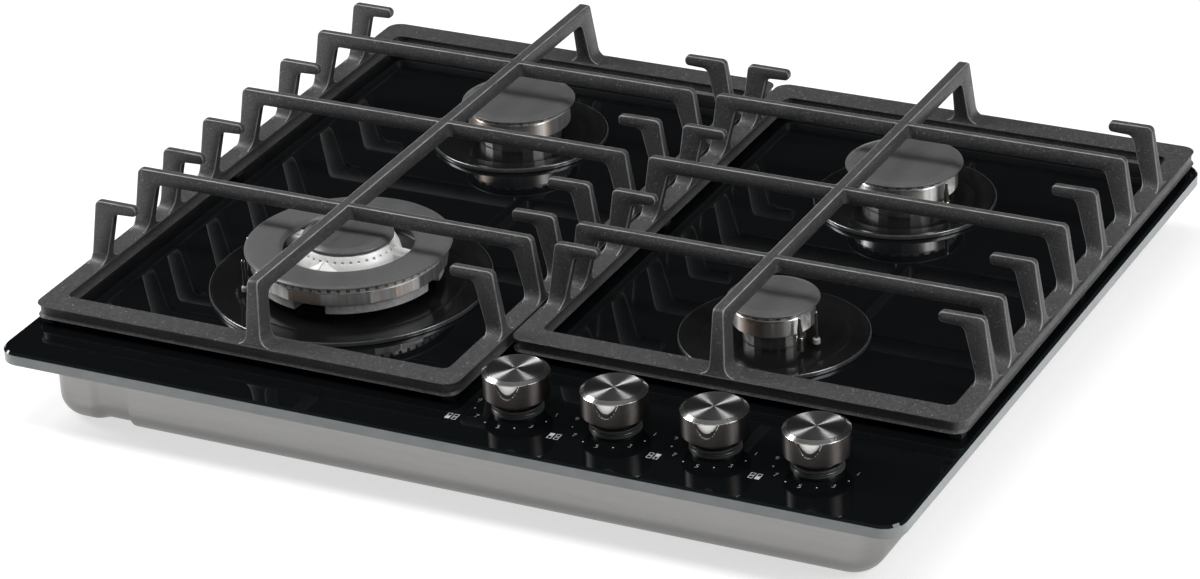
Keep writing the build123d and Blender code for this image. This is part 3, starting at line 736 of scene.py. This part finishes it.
def pressed_tray():
    """The pressed steel tray: floor, rounded bottom edge, wall with its pocket and a flange outwards."""
    outside = [(FLOOR_INSET, 0.0)] + bottom_edge(TRAY_BOTTOM_R, 0.0)[::-1]
    outside += [(0.0, WALL_MIDDLE), (0.0, TRAY_TOP - SHEET)]
    rim = [(-FLANGE, TRAY_TOP - SHEET), (-FLANGE, TRAY_TOP)]
    inside = [(SHEET, TRAY_TOP), (SHEET, WALL_MIDDLE)]
    inside += bottom_edge(TRAY_BOTTOM_R - SHEET, SHEET) + [(FLOOR_INSET, SHEET)]
    rows = [tray_row(*row) for row in outside + rim + inside]
    tray = add_piece("pressed_tray", [skin(np.stack(rows))], "cooktop", ["tray_steel"],
                     ["base_tray"], smooth=TRAY_SMOOTH)
    round_hole = rounded_line([(0.0, -3.0), (CLAMP_HOLE_R, -3.0), (CLAMP_HOLE_R, 3.0), (0.0, 3.0)])
    cutters = [turned(round_hole, (x, y), 24) for x in (-CLAMP_X, CLAMP_X) for y in (-CLAMP_Y, CLAMP_Y)]
    for x, z, half in REAR_HOLES:
        hole = rounded_rectangle((x - half, z - half), (x + half, z + half), 1.5, 3)
        ends = [
            np.column_stack([hole[:, 0], np.full(len(hole), y), hole[:, 1]])
            for y in (TRAY_D / 2 - CUT_BEFORE, TRAY_D / 2 + CUT_BEHIND)
        ]
        cutters.append(skin(np.stack(ends)))
    cut_out(tray, cutters)


def cut_out(piece, surfaces):
    """Cuts closed surfaces, in millimetres, out of a piece."""
    mesh, _ = joined("cutter", surfaces)
    clean(mesh)
    cutter = bpy.data.objects.new("cutter", mesh)
    bpy.context.scene.collection.objects.link(cutter)
    change = piece.modifiers.new("cut", "BOOLEAN")
    change.object, change.operation, change.solver = cutter, "DIFFERENCE", "EXACT"
    done = bpy.data.meshes.new_from_object(piece.evaluated_get(bpy.context.evaluated_depsgraph_get()))
    piece.modifiers.clear()
    piece.data = done
    done.set_sharp_from_angle(angle=radians(TRAY_SMOOTH))
    bpy.data.objects.remove(cutter)
    bpy.data.meshes.remove(mesh)


# ------------------------------------------------------------------ burners

CAP_SEAT, ROUND, BIG_ROUND = 24.45, 128, 192
# the last number is the width of the dish rim that takes the painted highlight
CUP_GAP, DISH_STEP, WOK_DISH_STEP, DISH_RIM_HIGHLIGHT = 0.5, 14.0, 18.0, 0.9

# ---- single crowns: foot, skirt, ports and top
CROWN_FOOT, SKIRT_LOW, SKIRT_HIGH, PORT_LOW, PORT_HIGH, CROWN_TOP = 8.0, 12.2, 21.4, 22.6, 24.2, 24.38
CROWN_PORTS = {"rear_left": 28, "rear_right": 28, "auxiliary": 23}
PORT_DEPTH, PORT_SHARE, PORT_POINTS, PORTED_IN, BESIDE_PORTS = 4.0, 0.36, 14, 0.6, 0.35
FOOT_IN, BRIM, BRIM_Z, SKIRT_ROWS, HAIR = 6.5, 2.0, 11.0, 24, 0.02
NICHE_AT = {"rear_left": 100.0, "rear_right": -8.0, "auxiliary": -16.0}
NICHE_HALF, NICHE_DEPTH, NICHE_LOW, NICHE_FALL = radians(11.0), 3.0, 15.0, 4.0
NICHE_FROM, NICHE_TO = 12.0, 22.5

# ---- wok crown: its polished band of flats, ports, small holes, bridging arms and skirt notches
BAND_SIDES, BAND_LOW, BAND_HIGH, BAND_IN = 22, 13.6, 21.85, 59.0
OUTER_PORTS, OUTER_DEPTH, OUTER_LOW, OUTER_HIGH, OUTER_SHARE = 64, 5.0, 22.41, 25.01, 0.28
OUTER_POINTS, SKIRT_IN, SKIRT_TOP = 10, 55.0, 13.8
NOTCH_R, GROOVE_R, WELL_R = 48.0, 46.0, 47.5
HOLE_COUNT, HOLE_R, HOLE_Z, HOLE_DEPTH, HOLE_START = 38, 0.85, 27.5, 2.0, radians(1.36)
CONE_R, CONE_LOW, CONE_SLOPE, CONE_IN, HOLE_POINTS = 31.6, 24.5, 0.46, 28.0, 18
ARM_ANGLES, ARM_HALF, ARM_LOW, ARM_MIDDLE, ARM_TOP = (8.0, 171.0), 5.5, 16.0, 20.0, 24.6
CONE_ROWS = np.linspace(26.0, 29.0, 15)
DUCT_ANGLE, DUCT_LOW = -90.0, 22.0
SKIRT_GAPS = ((-97.0, -76.0), (-6.0, 8.0), (70.0, 84.0), (160.0, 172.0))


def burner_centre(name):
    """Centre of a burner in plan."""
    return BURNERS[name]["x"], BURNERS[name]["y"]


def distances(middles, centre):
    """How far points lie from an upright axis."""
    return np.hypot(middles[:, 0] - centre[0], middles[:, 1] - centre[1])


def dishes():
    """Enamelled dishes on the glass: a thin raised rim, a slope inwards and a shallow step; the rim is
    lighter, a painted highlight.
    """
    surfaces, finishes = [], []
    for name, sizes in BURNERS.items():
        centre, rim, cup = burner_centre(name), sizes["dish"], sizes["cup"] + CUP_GAP
        step = rim - (WOK_DISH_STEP if name == "wok" else DISH_STEP)
        profile = rounded_line([
            (cup, 0.05), (rim - 0.6, 0.05), (rim, 0.4, 0.3), (rim - 0.2, 3.0, 0.7), (rim - 2.4, 3.0, 0.9),
            (step + 2.0, 1.5, 0.9), (step, 0.8, 0.9), (cup, 0.8),
        ], steps=4)

        def kind(middles, centre=centre, rim=rim):
            """1 on the rounded rim, which takes the painted highlight, 0 inside it."""
            return (distances(middles, centre) > rim - DISH_RIM_HIGHLIGHT) * 1

        dish = turned(profile, centre, BIG_ROUND, closed=True)
        surfaces += [on_glass(part) for part in divided(dish, kind, 2)]
        finishes += ["dish_enamel", "dish_rim_highlight"]
    add_piece("enamelled_dishes", surfaces, "cooktop", finishes, ["burner_plates"])


def slots(count, depth, low, high, share, reach):
    """Reshaping of a turned side into ports.

    Where the angle, counted in pitches, has a fraction under share, the radius drops by depth, for the points
    that lie between the two heights and further out than reach.
    """

    def reshape(angle, radius, height):
        """Ports in the side."""
        inside = ((angle * count / (2 * pi)) % 1.0 < share) & (height > low) & (height < high)
        return np.where(inside & (radius > reach), radius - depth, radius), height

    return reshape


def single_crown(name):
    """Crown of a single-ring burner: dark foot, polished skirt, ports under the cap and a niche by the probe.

    In the niche the radius drops by NICHE_DEPTH where (turn / NICHE_HALF)^2 + (below / NICHE_FALL)^2 is under
    1, below being how far the point lies under NICHE_LOW and turn its angle from the niche's middle.
    """
    centre, radius, ports = burner_centre(name), BURNERS[name]["crown"], CROWN_PORTS[name]
    foot = radius - FOOT_IN
    ported = radius - PORTED_IN
    skirt = [(radius, height) for height in np.linspace(SKIRT_LOW, SKIRT_HIGH, SKIRT_ROWS)]
    profile = rounded_line([
        (0.0, CROWN_FOOT), (foot, CROWN_FOOT), (foot, 10.2, 0.8), (radius - 0.9, BRIM_Z, 0.5),
        (radius, 11.8, 0.3), *skirt, (radius - 0.5, 21.9), (ported, 22.2), (ported, PORT_LOW),
        (ported, PORT_LOW + HAIR), (ported, PORT_HIGH - HAIR), (ported, PORT_HIGH),
        (radius - 4, CROWN_TOP), (0.0, CROWN_TOP),
    ], steps=4)
    cut = slots(ports, PORT_DEPTH, PORT_LOW + HAIR / 2, PORT_HIGH - HAIR / 2, PORT_SHARE, foot)

    def reshape(angle, distance, height):
        """Ports, and the niche."""
        distance, height = cut(angle, distance, height)
        turn = (angle - radians(NICHE_AT[name]) + pi) % (2 * pi) - pi
        below = np.maximum(NICHE_LOW - height, 0)
        inside = (turn / NICHE_HALF) ** 2 + (below / NICHE_FALL) ** 2 < 1
        inside &= (distance > foot + BRIM) & (height > NICHE_FROM) & (height < NICHE_TO)
        return np.where(inside, distance - NICHE_DEPTH, distance), height

    def kind(middles):
        """0 polished skirt, 1 ports and niche, 2 foot and top."""
        far = distances(middles, centre)
        dark = (far < foot + BRIM) | (middles[:, 2] < BRIM_Z)
        return np.where(dark, 2, np.where(far < radius - BESIDE_PORTS, 1, 0))

    shapes = divided(turned(profile, centre, ports * PORT_POINTS, reshape=reshape), kind, 3)
    add_piece(f"crown_{name}_turned", [on_glass(shape) for shape in shapes], f"{name}_crown",
              ["polished_alloy", "port_alloy", "well_alloy"], [f"crown_{name}"])


def cap(name, profile, centre, steps, body, replaced, closed=False):
    """An enamelled cap turned from a profile."""
    shape = turned(rounded_line(profile, steps=4), centre, steps, closed=closed)
    add_piece(name, [on_glass(shape)], body, ["cap_enamel"], [replaced])


def burner_cap(name):
    """Cap of a single-ring burner: a rounded rim, a shoulder and a slightly dished middle."""
    radius = BURNERS[name]["cap"]
    profile = [
        (0.0, CAP_SEAT), (radius - 2.8, CAP_SEAT), (radius - 0.6, 25.3, 0.4), (radius, 25.8, 0.3),
        (radius, 26.6, 0.6), (radius - 2.6, 27.5, 1.5), (radius - 5.0, 28.2, 1.0), (radius * 0.6, 28.0),
        (0.0, 27.7),
    ]
    cap(f"cap_{name}_domed", profile, burner_centre(name), ROUND, f"{name}_cap", f"cap_{name}")


def wok_skirt(angle):
    """True where the wok crown's lower skirt stands, False in its notches."""
    degrees = np.degrees((angle + pi) % (2 * pi) - pi)
    gap = np.zeros_like(degrees, bool)
    for start, end in SKIRT_GAPS:
        gap |= (degrees > start) & (degrees < end)
    return ~gap


def wok_outer_ring(centre):
    """The wok crown's outer ring with the well inside it, in four kinds of surface."""
    crown = BURNERS["wok"]["crown"]
    profile = rounded_line([
        (33.5, 7.02), (52.0, 7.02), (57.6, 7.02), (57.8, 7.2), (58.4, 13.2), (58.4, 13.5), (60.6, 14.0),
        (crown, 14.4), (crown, 21.4), (60.6, 21.8), (60.2, 21.9), (60.2, 22.4), (60.2, 22.42), (60.2, 25.0),
        (60.2, 25.02), (58.0, 25.15), (48.0, 25.15), (46.4, 24.8, 0.6), (GROOVE_R, 15.2, 1.0), (33.5, 15.2),
    ], steps=3)
    cut = slots(OUTER_PORTS, OUTER_DEPTH, OUTER_LOW, OUTER_HIGH, OUTER_SHARE, SKIRT_IN)

    def form(angle, radius, height):
        """Ports, a polished band of flats (a regular outline of BAND_SIDES sides) and a notched skirt."""
        side = 2 * pi / BAND_SIDES
        flat = np.cos(side / 2) / np.cos((angle % side) - side / 2)
        band = (height > BAND_LOW) & (height < BAND_HIGH) & (radius > BAND_IN)
        notch = (height < BAND_LOW) & (radius > SKIRT_IN) & ~wok_skirt(angle)
        radius, height = cut(angle, radius, height)
        return np.where(band, radius * flat, np.where(notch, NOTCH_R, radius)), height

    def kind(middles):
        """0 polished band, 1 ports, 2 skirt, 3 the well between the rings, dark: painted shade."""
        kinds = np.where(middles[:, 2] < SKIRT_TOP, 2, np.where(middles[:, 2] < BAND_HIGH, 0, 1))
        return np.where(distances(middles, centre) < WELL_R, 3, kinds)

    return divided(turned(profile, centre, OUTER_PORTS * OUTER_POINTS, closed=True, reshape=form), kind, 4)


def wok_inner_ring(centre):
    """The wok crown's inner ring: a cone with a row of small round holes."""
    cone = [(CONE_R - (row - CONE_LOW) * CONE_SLOPE, row) for row in CONE_ROWS]
    profile = rounded_line([
        (0.0, 15.0), (33.6, 15.0), (33.6, 15.4), (CONE_R, CONE_LOW), *cone, (28.7, 30.8, 0.4), (26.0, 31.0),
        (0.0, 31.0),
    ], steps=3)

    def form(angle, radius, height):
        """Within HOLE_R of each hole's middle the radius drops by HOLE_DEPTH."""
        pitch = 2 * pi / HOLE_COUNT
        across = (((angle + HOLE_START) / pitch + 0.5) % 1.0 - 0.5) * pitch * radius
        inside = (across**2 + (height - HOLE_Z) ** 2 < HOLE_R**2) & (radius > CONE_IN)
        return np.where(inside, radius - HOLE_DEPTH, radius), height

    return turned(profile, centre, HOLE_COUNT * HOLE_POINTS, reshape=form)


def placed(reach, across, rise, angle, centre):
    """Points at a reach along a direction in plan, and at a distance across it, as a closed surface."""
    turn = radians(angle)
    x = centre[0] + reach[:, None] * cos(turn) - across * sin(turn)
    y = centre[1] + reach[:, None] * sin(turn) + across * cos(turn)
    return skin(np.stack([x, y, rise + 0 * x], -1))


def bridge(centre, angle):
    """A bridging arm between the wok crown's rings: a section with rounded top edges, carried outwards.

    Row i is the section at a radius; its top follows ARM_TOP, and rises at the inner ring.
    """
    low, high = (ARM_HALF, ARM_LOW), (ARM_HALF, ARM_TOP, 1.5)
    section = rounded_line([(-low[0], low[1]), low, high, (-high[0], *high[1:])])
    reach = np.array([29.5, 34.0, 38.0, 42.0, 46.8])
    lift = np.array([1.6, 0.4, -0.2, -0.6, -0.6])
    across, height = section[None, :, 0], section[None, :, 1]
    return placed(reach, across, height + np.where(height > ARM_MIDDLE, lift[:, None], 0), angle, centre)


def flame_duct(centre):
    """The wok crown's flame duct: a wedge with a ridge on each side of a gutter, between the two rings."""
    half = np.array([11.0, 9.0, 7.0, 5.5])
    reach = np.array([29.0, 33.0, 40.0, 46.8])
    ridge = np.array([28.4, 27.6, 25.2, 24.4])
    share = np.array([-1.0, -0.96, -0.06, -0.05, 0.05, 0.06, 0.96, 1.0])
    height = np.array([0.0, 0.1, 0.96, 0.3, 0.3, 0.96, 0.1, 0.0])
    across = half[:, None] * np.hstack([share, [1.0, -1.0]])[None]
    top = DUCT_LOW + (ridge[:, None] - DUCT_LOW) * height[None]
    return placed(reach, across, np.hstack([top, np.full((len(reach), 2), ARM_LOW)]), DUCT_ANGLE, centre)


def wok_burner():
    """The wok burner's crown with two rings of ports, its annular cap and its centre cap."""
    centre = burner_centre("wok")
    shapes = wok_outer_ring(centre) + [wok_inner_ring(centre)]
    shapes += [bridge(centre, angle) for angle in ARM_ANGLES] + [flame_duct(centre)]
    finishes = ["polished_alloy", "port_alloy", "skirt_alloy", "well_alloy"] + ["crown_alloy"] * 4
    add_piece("crown_wok_turned", [on_glass(shape) for shape in shapes], "wok_crown",
              finishes, ["crown_wok"])
    rim = BURNERS["wok"]["cap"]
    ring = [
        (40.7, 25.3), (61.8, 25.3), (63.6, 26.3, 0.4), (rim, 26.6, 0.3), (rim, 27.3, 0.5), (62.4, 28.3, 1.2),
        (60.5, 28.6), (45.0, 28.6), (42.5, 28.3, 1.0), (40.7, 26.4, 0.8),
    ]
    cap("cap_wok_ring_cast", ring, centre, BIG_ROUND, "wok_ring_cap", "cap_wok_ring", closed=True)
    middle = [
        (0.0, 31.05), (27.4, 31.05), (28.5, 31.5, 0.5), (28.5, 33.2, 1.0), (26.2, 34.4, 1.2),
        (24.6, 35.2, 0.9), (16.0, 35.0), (0.0, 34.6),
    ]
    cap("cap_wok_centre_domed", middle, centre, ROUND, "wok_centre_cap", "cap_wok_centre")


# ------------------------------------------------------------------ spark plugs and flame probes

SPARK_ANGLES = {"wok": -143.0, "rear_left": 150.0, "rear_right": 62.0, "auxiliary": -8.0}
PROBE_ANGLES = {"wok": -169.0, "rear_left": 120.0, "rear_right": -24.0, "auxiliary": -34.5}
ELECTRODE_GAP = 4.6
PLUG_LOW, SLEEVE_TOP, COLLAR_TOP, ROD_LOW, PROBE_TOP = 3.0, 6.4, 9.8, 12.3, 25.1


def electrode_places(angles):
    """Places in plan of the spark plugs or probes, each beside its crown."""
    places = []
    for name, angle in angles.items():
        x, y = burner_centre(name)
        reach = BURNERS[name]["crown"] + ELECTRODE_GAP
        places.append((x + reach * cos(radians(angle)), y + reach * sin(radians(angle))))
    return places


def rods(name, places, replaced, sides, parts):
    """Turned parts on each of some places: parts are pairs of a profile and the name of its finish."""
    lines = [rounded_line(profile, steps=3) for profile, _ in parts]
    shapes = [on_glass(turned(line, at, sides)) for at in places for line in lines]
    finishes = [finish_name for _, finish_name in parts]
    if len(parts) > 1:
        finishes *= len(places)
    add_piece(name, shapes, "cooktop", finishes, [replaced])


def electrodes():
    """Ceramic sleeves with their sparking wires, and dark probes with a steel collar and point."""
    sleeve = [(0.0, PLUG_LOW), (2.3, PLUG_LOW), (2.3, 5.6), (1.7, SLEEVE_TOP, 0.4), (0.0, SLEEVE_TOP)]
    wire = [(0.0, 6.2), (1.1, 6.2), (1.0, 22.6), (0.0, 22.6)]
    tip = [(0.0, 22.4), (1.1, 22.6, 0.3), (1.2, 23.4, 0.6), (0.8, 24.2, 0.5), (0.0, 24.2)]
    collar = [(0.0, PLUG_LOW), (2.2, PLUG_LOW), (2.2, COLLAR_TOP), (0.0, COLLAR_TOP)]
    ring = [(0.0, 9.6), (2.6, 9.6, 0.5), (2.6, ROD_LOW, 0.6), (1.2, ROD_LOW), (0.0, ROD_LOW)]
    probe = [(0.0, 12.0), (1.6, 12.0), (1.6, 17.0, 2.0), (1.0, 21.0, 2.0), (0.9, 23.8), (0.0, 23.8)]
    point = [(0.0, 23.6), (1.0, 23.6), (1.0, 24.6, 0.4), (0.5, PROBE_TOP, 0.4), (0.0, PROBE_TOP)]
    sparks, probes = electrode_places(SPARK_ANGLES), electrode_places(PROBE_ANGLES)
    rods("ceramic_sleeves", sparks, "spark_ceramics", 24, [(sleeve, "ceramic")])
    wires = [(wire, "probe_dark"), (tip, "probe_steel")]
    rods("sparking_wires", sparks, "spark_tips", 20, wires)
    stack = [(collar, "probe_dark"), (ring, "probe_steel"), (probe, "probe_dark"), (point, "probe_steel")]
    rods("probe_rods", probes, "thermocouples", 24, stack)


# ------------------------------------------------------------------ knobs and print

KNOB_R, FACE_R, LIP_R, NECK_R, BORE_R = 19.8, 16.9, 17.45, 13.0, 6.4
FACE_Z, LIP_Z, SIDE_TOP, SIDE_LOW, NECK_LOW = 25.94, 25.9, 24.1, 10.2, 5.0
KNOB_STEPS, SIDE_ROWS = 400, 56
SCOOP_TURN, SCOOP_TOP, SCOOP_HALF, SCOOP_DROP, SCOOP_DEPTH = radians(-80.0), 23.7, 7.6, 8.4, 3.0

# ---- shares at which the scoop's bright ball (a painted reflection), its dark edge (painted shade) and its bright outline (a painted highlight) end
LIT_BALL_END, SHADED_EDGE_END, HIGHLIT_OUTLINE_END = 0.72, 0.86, 1.04

# ---- print: heights of digits and letters, the circle they stand on, and the little plan of burners
PRINT_RISE, DIGIT_H, WORD_H, DOT_R, DIAL_R = 0.06, 3.9, 2.6, 0.5, 25.1
TEXT_SCALE, TEXT_THIN, STEP_ANGLE, STEPS = 1.37, -0.022, -22.5, 9
SQUARE, LINE_THIN, LINE_FULL, SQUARE_DX, SQUARE_DY = 3.0, 0.4, 1.49, 2.1, 1.7
PLAN_LEFT, PLAN_LEFT_FIRST, PLAN_Y = 28.0, 31.0, -223.0


def knob_x(index):
    """X of one knob's axis."""
    return KNOB_X0 + KNOB_PITCH * index


def scoop_share(across, rise):
    """0 at the middle of a scoop's flat top, 1 on its outline: a parabola as wide and deep as the scoop."""
    return (across / SCOOP_HALF) ** 2 - rise / SCOOP_DROP


def scooped(angle, distance, height):
    """Reshaping of a knob's side by its finger scoop: the radius drops by SCOOP_DEPTH * sqrt(1 - share)."""
    from_middle = angle - SCOOP_TURN
    share = scoop_share(distance * np.sin(from_middle), height - SCOOP_TOP)
    inside = (np.cos(from_middle) > 0) & (share < 1) & (height < SCOOP_TOP)
    return distance - np.where(inside, SCOOP_DEPTH * np.sqrt(np.maximum(1 - share, 0)), 0), height


def knobs():
    """Turned metal knobs: lathe-marked face, polished bevel, dark side with a scoop in painted reflection,
    shade and highlight, and a neck.
    """
    face = rounded_line([(0.0, FACE_Z), (FACE_R, FACE_Z)])
    lip = rounded_line([(FACE_R, FACE_Z), (17.0, 26.0), (17.3, 26.0), (LIP_R, LIP_Z)])
    bevel = rounded_line([
        (LIP_R, LIP_Z), (19.5, 24.5, 0.2), (KNOB_R, 24.3, 0.1), (KNOB_R, SIDE_TOP),
    ], steps=3)
    heights = np.linspace(SIDE_TOP, SIDE_LOW, SIDE_ROWS)
    side = np.stack([np.full_like(heights, KNOB_R), heights], -1)
    under = [(KNOB_R, SIDE_LOW), (19.4, 9.8), (NECK_R, 9.8), (NECK_R, NECK_LOW), (0.0, NECK_LOW)]
    # in the scoop the ball, edge and outline take bright, dark and bright finishes: painted reflection, shade
    # and highlight
    names = ["knob_face", "knob_rim", "knob_rim", "knob_side"]
    names += ["knob_side", "knob_scoop_reflection", "knob_side", "knob_rim"]
    for index in range(KNOB_COUNT):
        centre = (knob_x(index), KNOB_Y)

        def kind(middles, centre=centre):
            """0 the side, 1 the scoop's ball (painted reflection), 2 its edge (painted shade), 3 its outline
            (painted highlight).
            """
            x, y = middles[:, 0] - centre[0], middles[:, 1] - centre[1]
            across = y * cos(SCOOP_TURN) - x * sin(SCOOP_TURN)
            ahead = x * cos(SCOOP_TURN) + y * sin(SCOOP_TURN)
            share = scoop_share(across, middles[:, 2] - SCOOP_TOP)
            kinds = np.select([share < LIT_BALL_END, share < SHADED_EDGE_END, share < HIGHLIT_OUTLINE_END], [1, 2, 3], 0)
            return np.where((ahead > 0) & (middles[:, 2] < SCOOP_TOP), kinds, 0)

        sides = divided(turned(side, centre, KNOB_STEPS, reshape=scooped), kind, 4)
        parts = (face, lip, bevel, rounded_line(under))
        shapes = [on_glass(shape) for shape in [turned(part, centre, KNOB_STEPS) for part in parts] + sides]
        add_piece(f"turned_knob_{index + 1}", shapes, f"control_knob_{index + 1}", names,
                  [f"knob_{index + 1}"], smooth=30.0)


def bezels():
    """Grey collars round the spindles, hollow so that the knob's neck slides in."""
    profile = rounded_line([
        (BORE_R, 0.0), (15.5, 0.0), (15.5, 0.9, 0.2), (15.1, 1.1), (15.1, 1.9), (15.4, 2.1), (15.1, 2.4),
        (15.1, 3.2), (15.3, 3.5), (15.0, 4.6, 0.4), (13.6, 4.6, 0.3), (13.4, 1.5), (BORE_R, 1.5),
    ], steps=3)
    shapes = [on_glass(turned(profile, (knob_x(k), KNOB_Y), 96, closed=True)) for k in range(KNOB_COUNT)]
    add_piece("collar_rings", shapes, "cooktop", ["bezel_grey"], ["knob_bezels"])


def text_points(text, height):
    """A text as a flat mesh in millimetres, centred on the origin: (points, faces)."""
    curve = bpy.data.curves.new("dial_text", "FONT")
    curve.body, curve.size, curve.align_x, curve.align_y = text, height * TEXT_SCALE, "CENTER", "CENTER"
    curve.resolution_u = 4
    curve.offset = TEXT_THIN * curve.size
    maker = bpy.data.objects.new("dial_text", curve)
    mesh = bpy.data.meshes.new_from_object(maker)
    points = np.array([vertex.co for vertex in mesh.vertices]).reshape(-1, 3)
    faces = [list(face.vertices) for face in mesh.polygons]
    bpy.data.objects.remove(maker)
    bpy.data.curves.remove(curve)
    bpy.data.meshes.remove(mesh)
    points -= (points.max(0) + points.min(0)) / 2
    return points, faces


def dot(radius, steps=16):
    """A flat round dot."""
    angle = np.linspace(0, 2 * pi, steps, endpoint=False)
    points = np.stack([radius * np.cos(angle), radius * np.sin(angle), 0 * angle], -1)
    return points, [list(range(steps))]


def frame_square(size, width):
    """The outline of a small square, open in the middle."""
    half = np.array([[-1, -1], [1, -1], [1, 1], [-1, 1]]) * size / 2
    inner = half * (1 - 2 * width / size)
    points = np.column_stack([np.concatenate([half, inner]), np.zeros(8)])
    return points, [[k, (k + 1) % 4, 4 + (k + 1) % 4, 4 + k] for k in range(4)]


def dial_marks():
    """White print round each knob: 1, 3, 5, 7 and 9 with dots between, OFF, and a plan of the burners."""
    surfaces = []

    def put(surface, x, y):
        """Lays a flat shape on the glass."""
        points, faces = surface
        surfaces.append((points + np.array([x, y, GLASS_TOP + PRINT_RISE]), faces))

    burners = ((-1, -1), (-1, 1), (1, 1), (1, -1))
    for index in range(KNOB_COUNT):
        x0 = knob_x(index)
        for step in range(STEPS):
            angle = radians(STEP_ANGLE * step)
            shape = dot(DOT_R) if step % 2 else text_points(str(step + 1), DIGIT_H)
            put(shape, x0 + DIAL_R * cos(angle), KNOB_Y + DIAL_R * sin(angle))
        put(text_points("OFF", WORD_H), x0, KNOB_Y + DIAL_R)
        plan_x = x0 - (PLAN_LEFT if index else PLAN_LEFT_FIRST)
        for column, row in burners:
            width = LINE_FULL if (column, row) == burners[index] else LINE_THIN
            put(frame_square(SQUARE, width), plan_x + column * SQUARE_DX, PLAN_Y + row * SQUARE_DY)
    add_piece("dial_print", surfaces, "cooktop", ["print_white"])


# ------------------------------------------------------------------ the whole

add_camera()
set_studio()
add_floor()
add_lamp("left_box", place=(-1.35, -0.23, 1.0), size=(0.42, 1.0), power=18)
add_lamp("right_box", place=(1.5, -0.16, 1.15), size=(0.7, 1.5), power=19)
add_lamp("top_box", place=(0.0, -0.33, 1.9), size=(1.8, 0.55), power=20, mirrored=False)
make_finishes()
finish_nodes()
for support_side in SUPPORTS:
    pan_support(support_side)
pressed_tray()
dishes()
for burner in CROWN_PORTS:
    single_crown(burner)
    burner_cap(burner)
wok_burner()
electrodes()
knobs()
bezels()
dial_marks()

bpy.context.scene.view_settings.view_transform = "Standard"
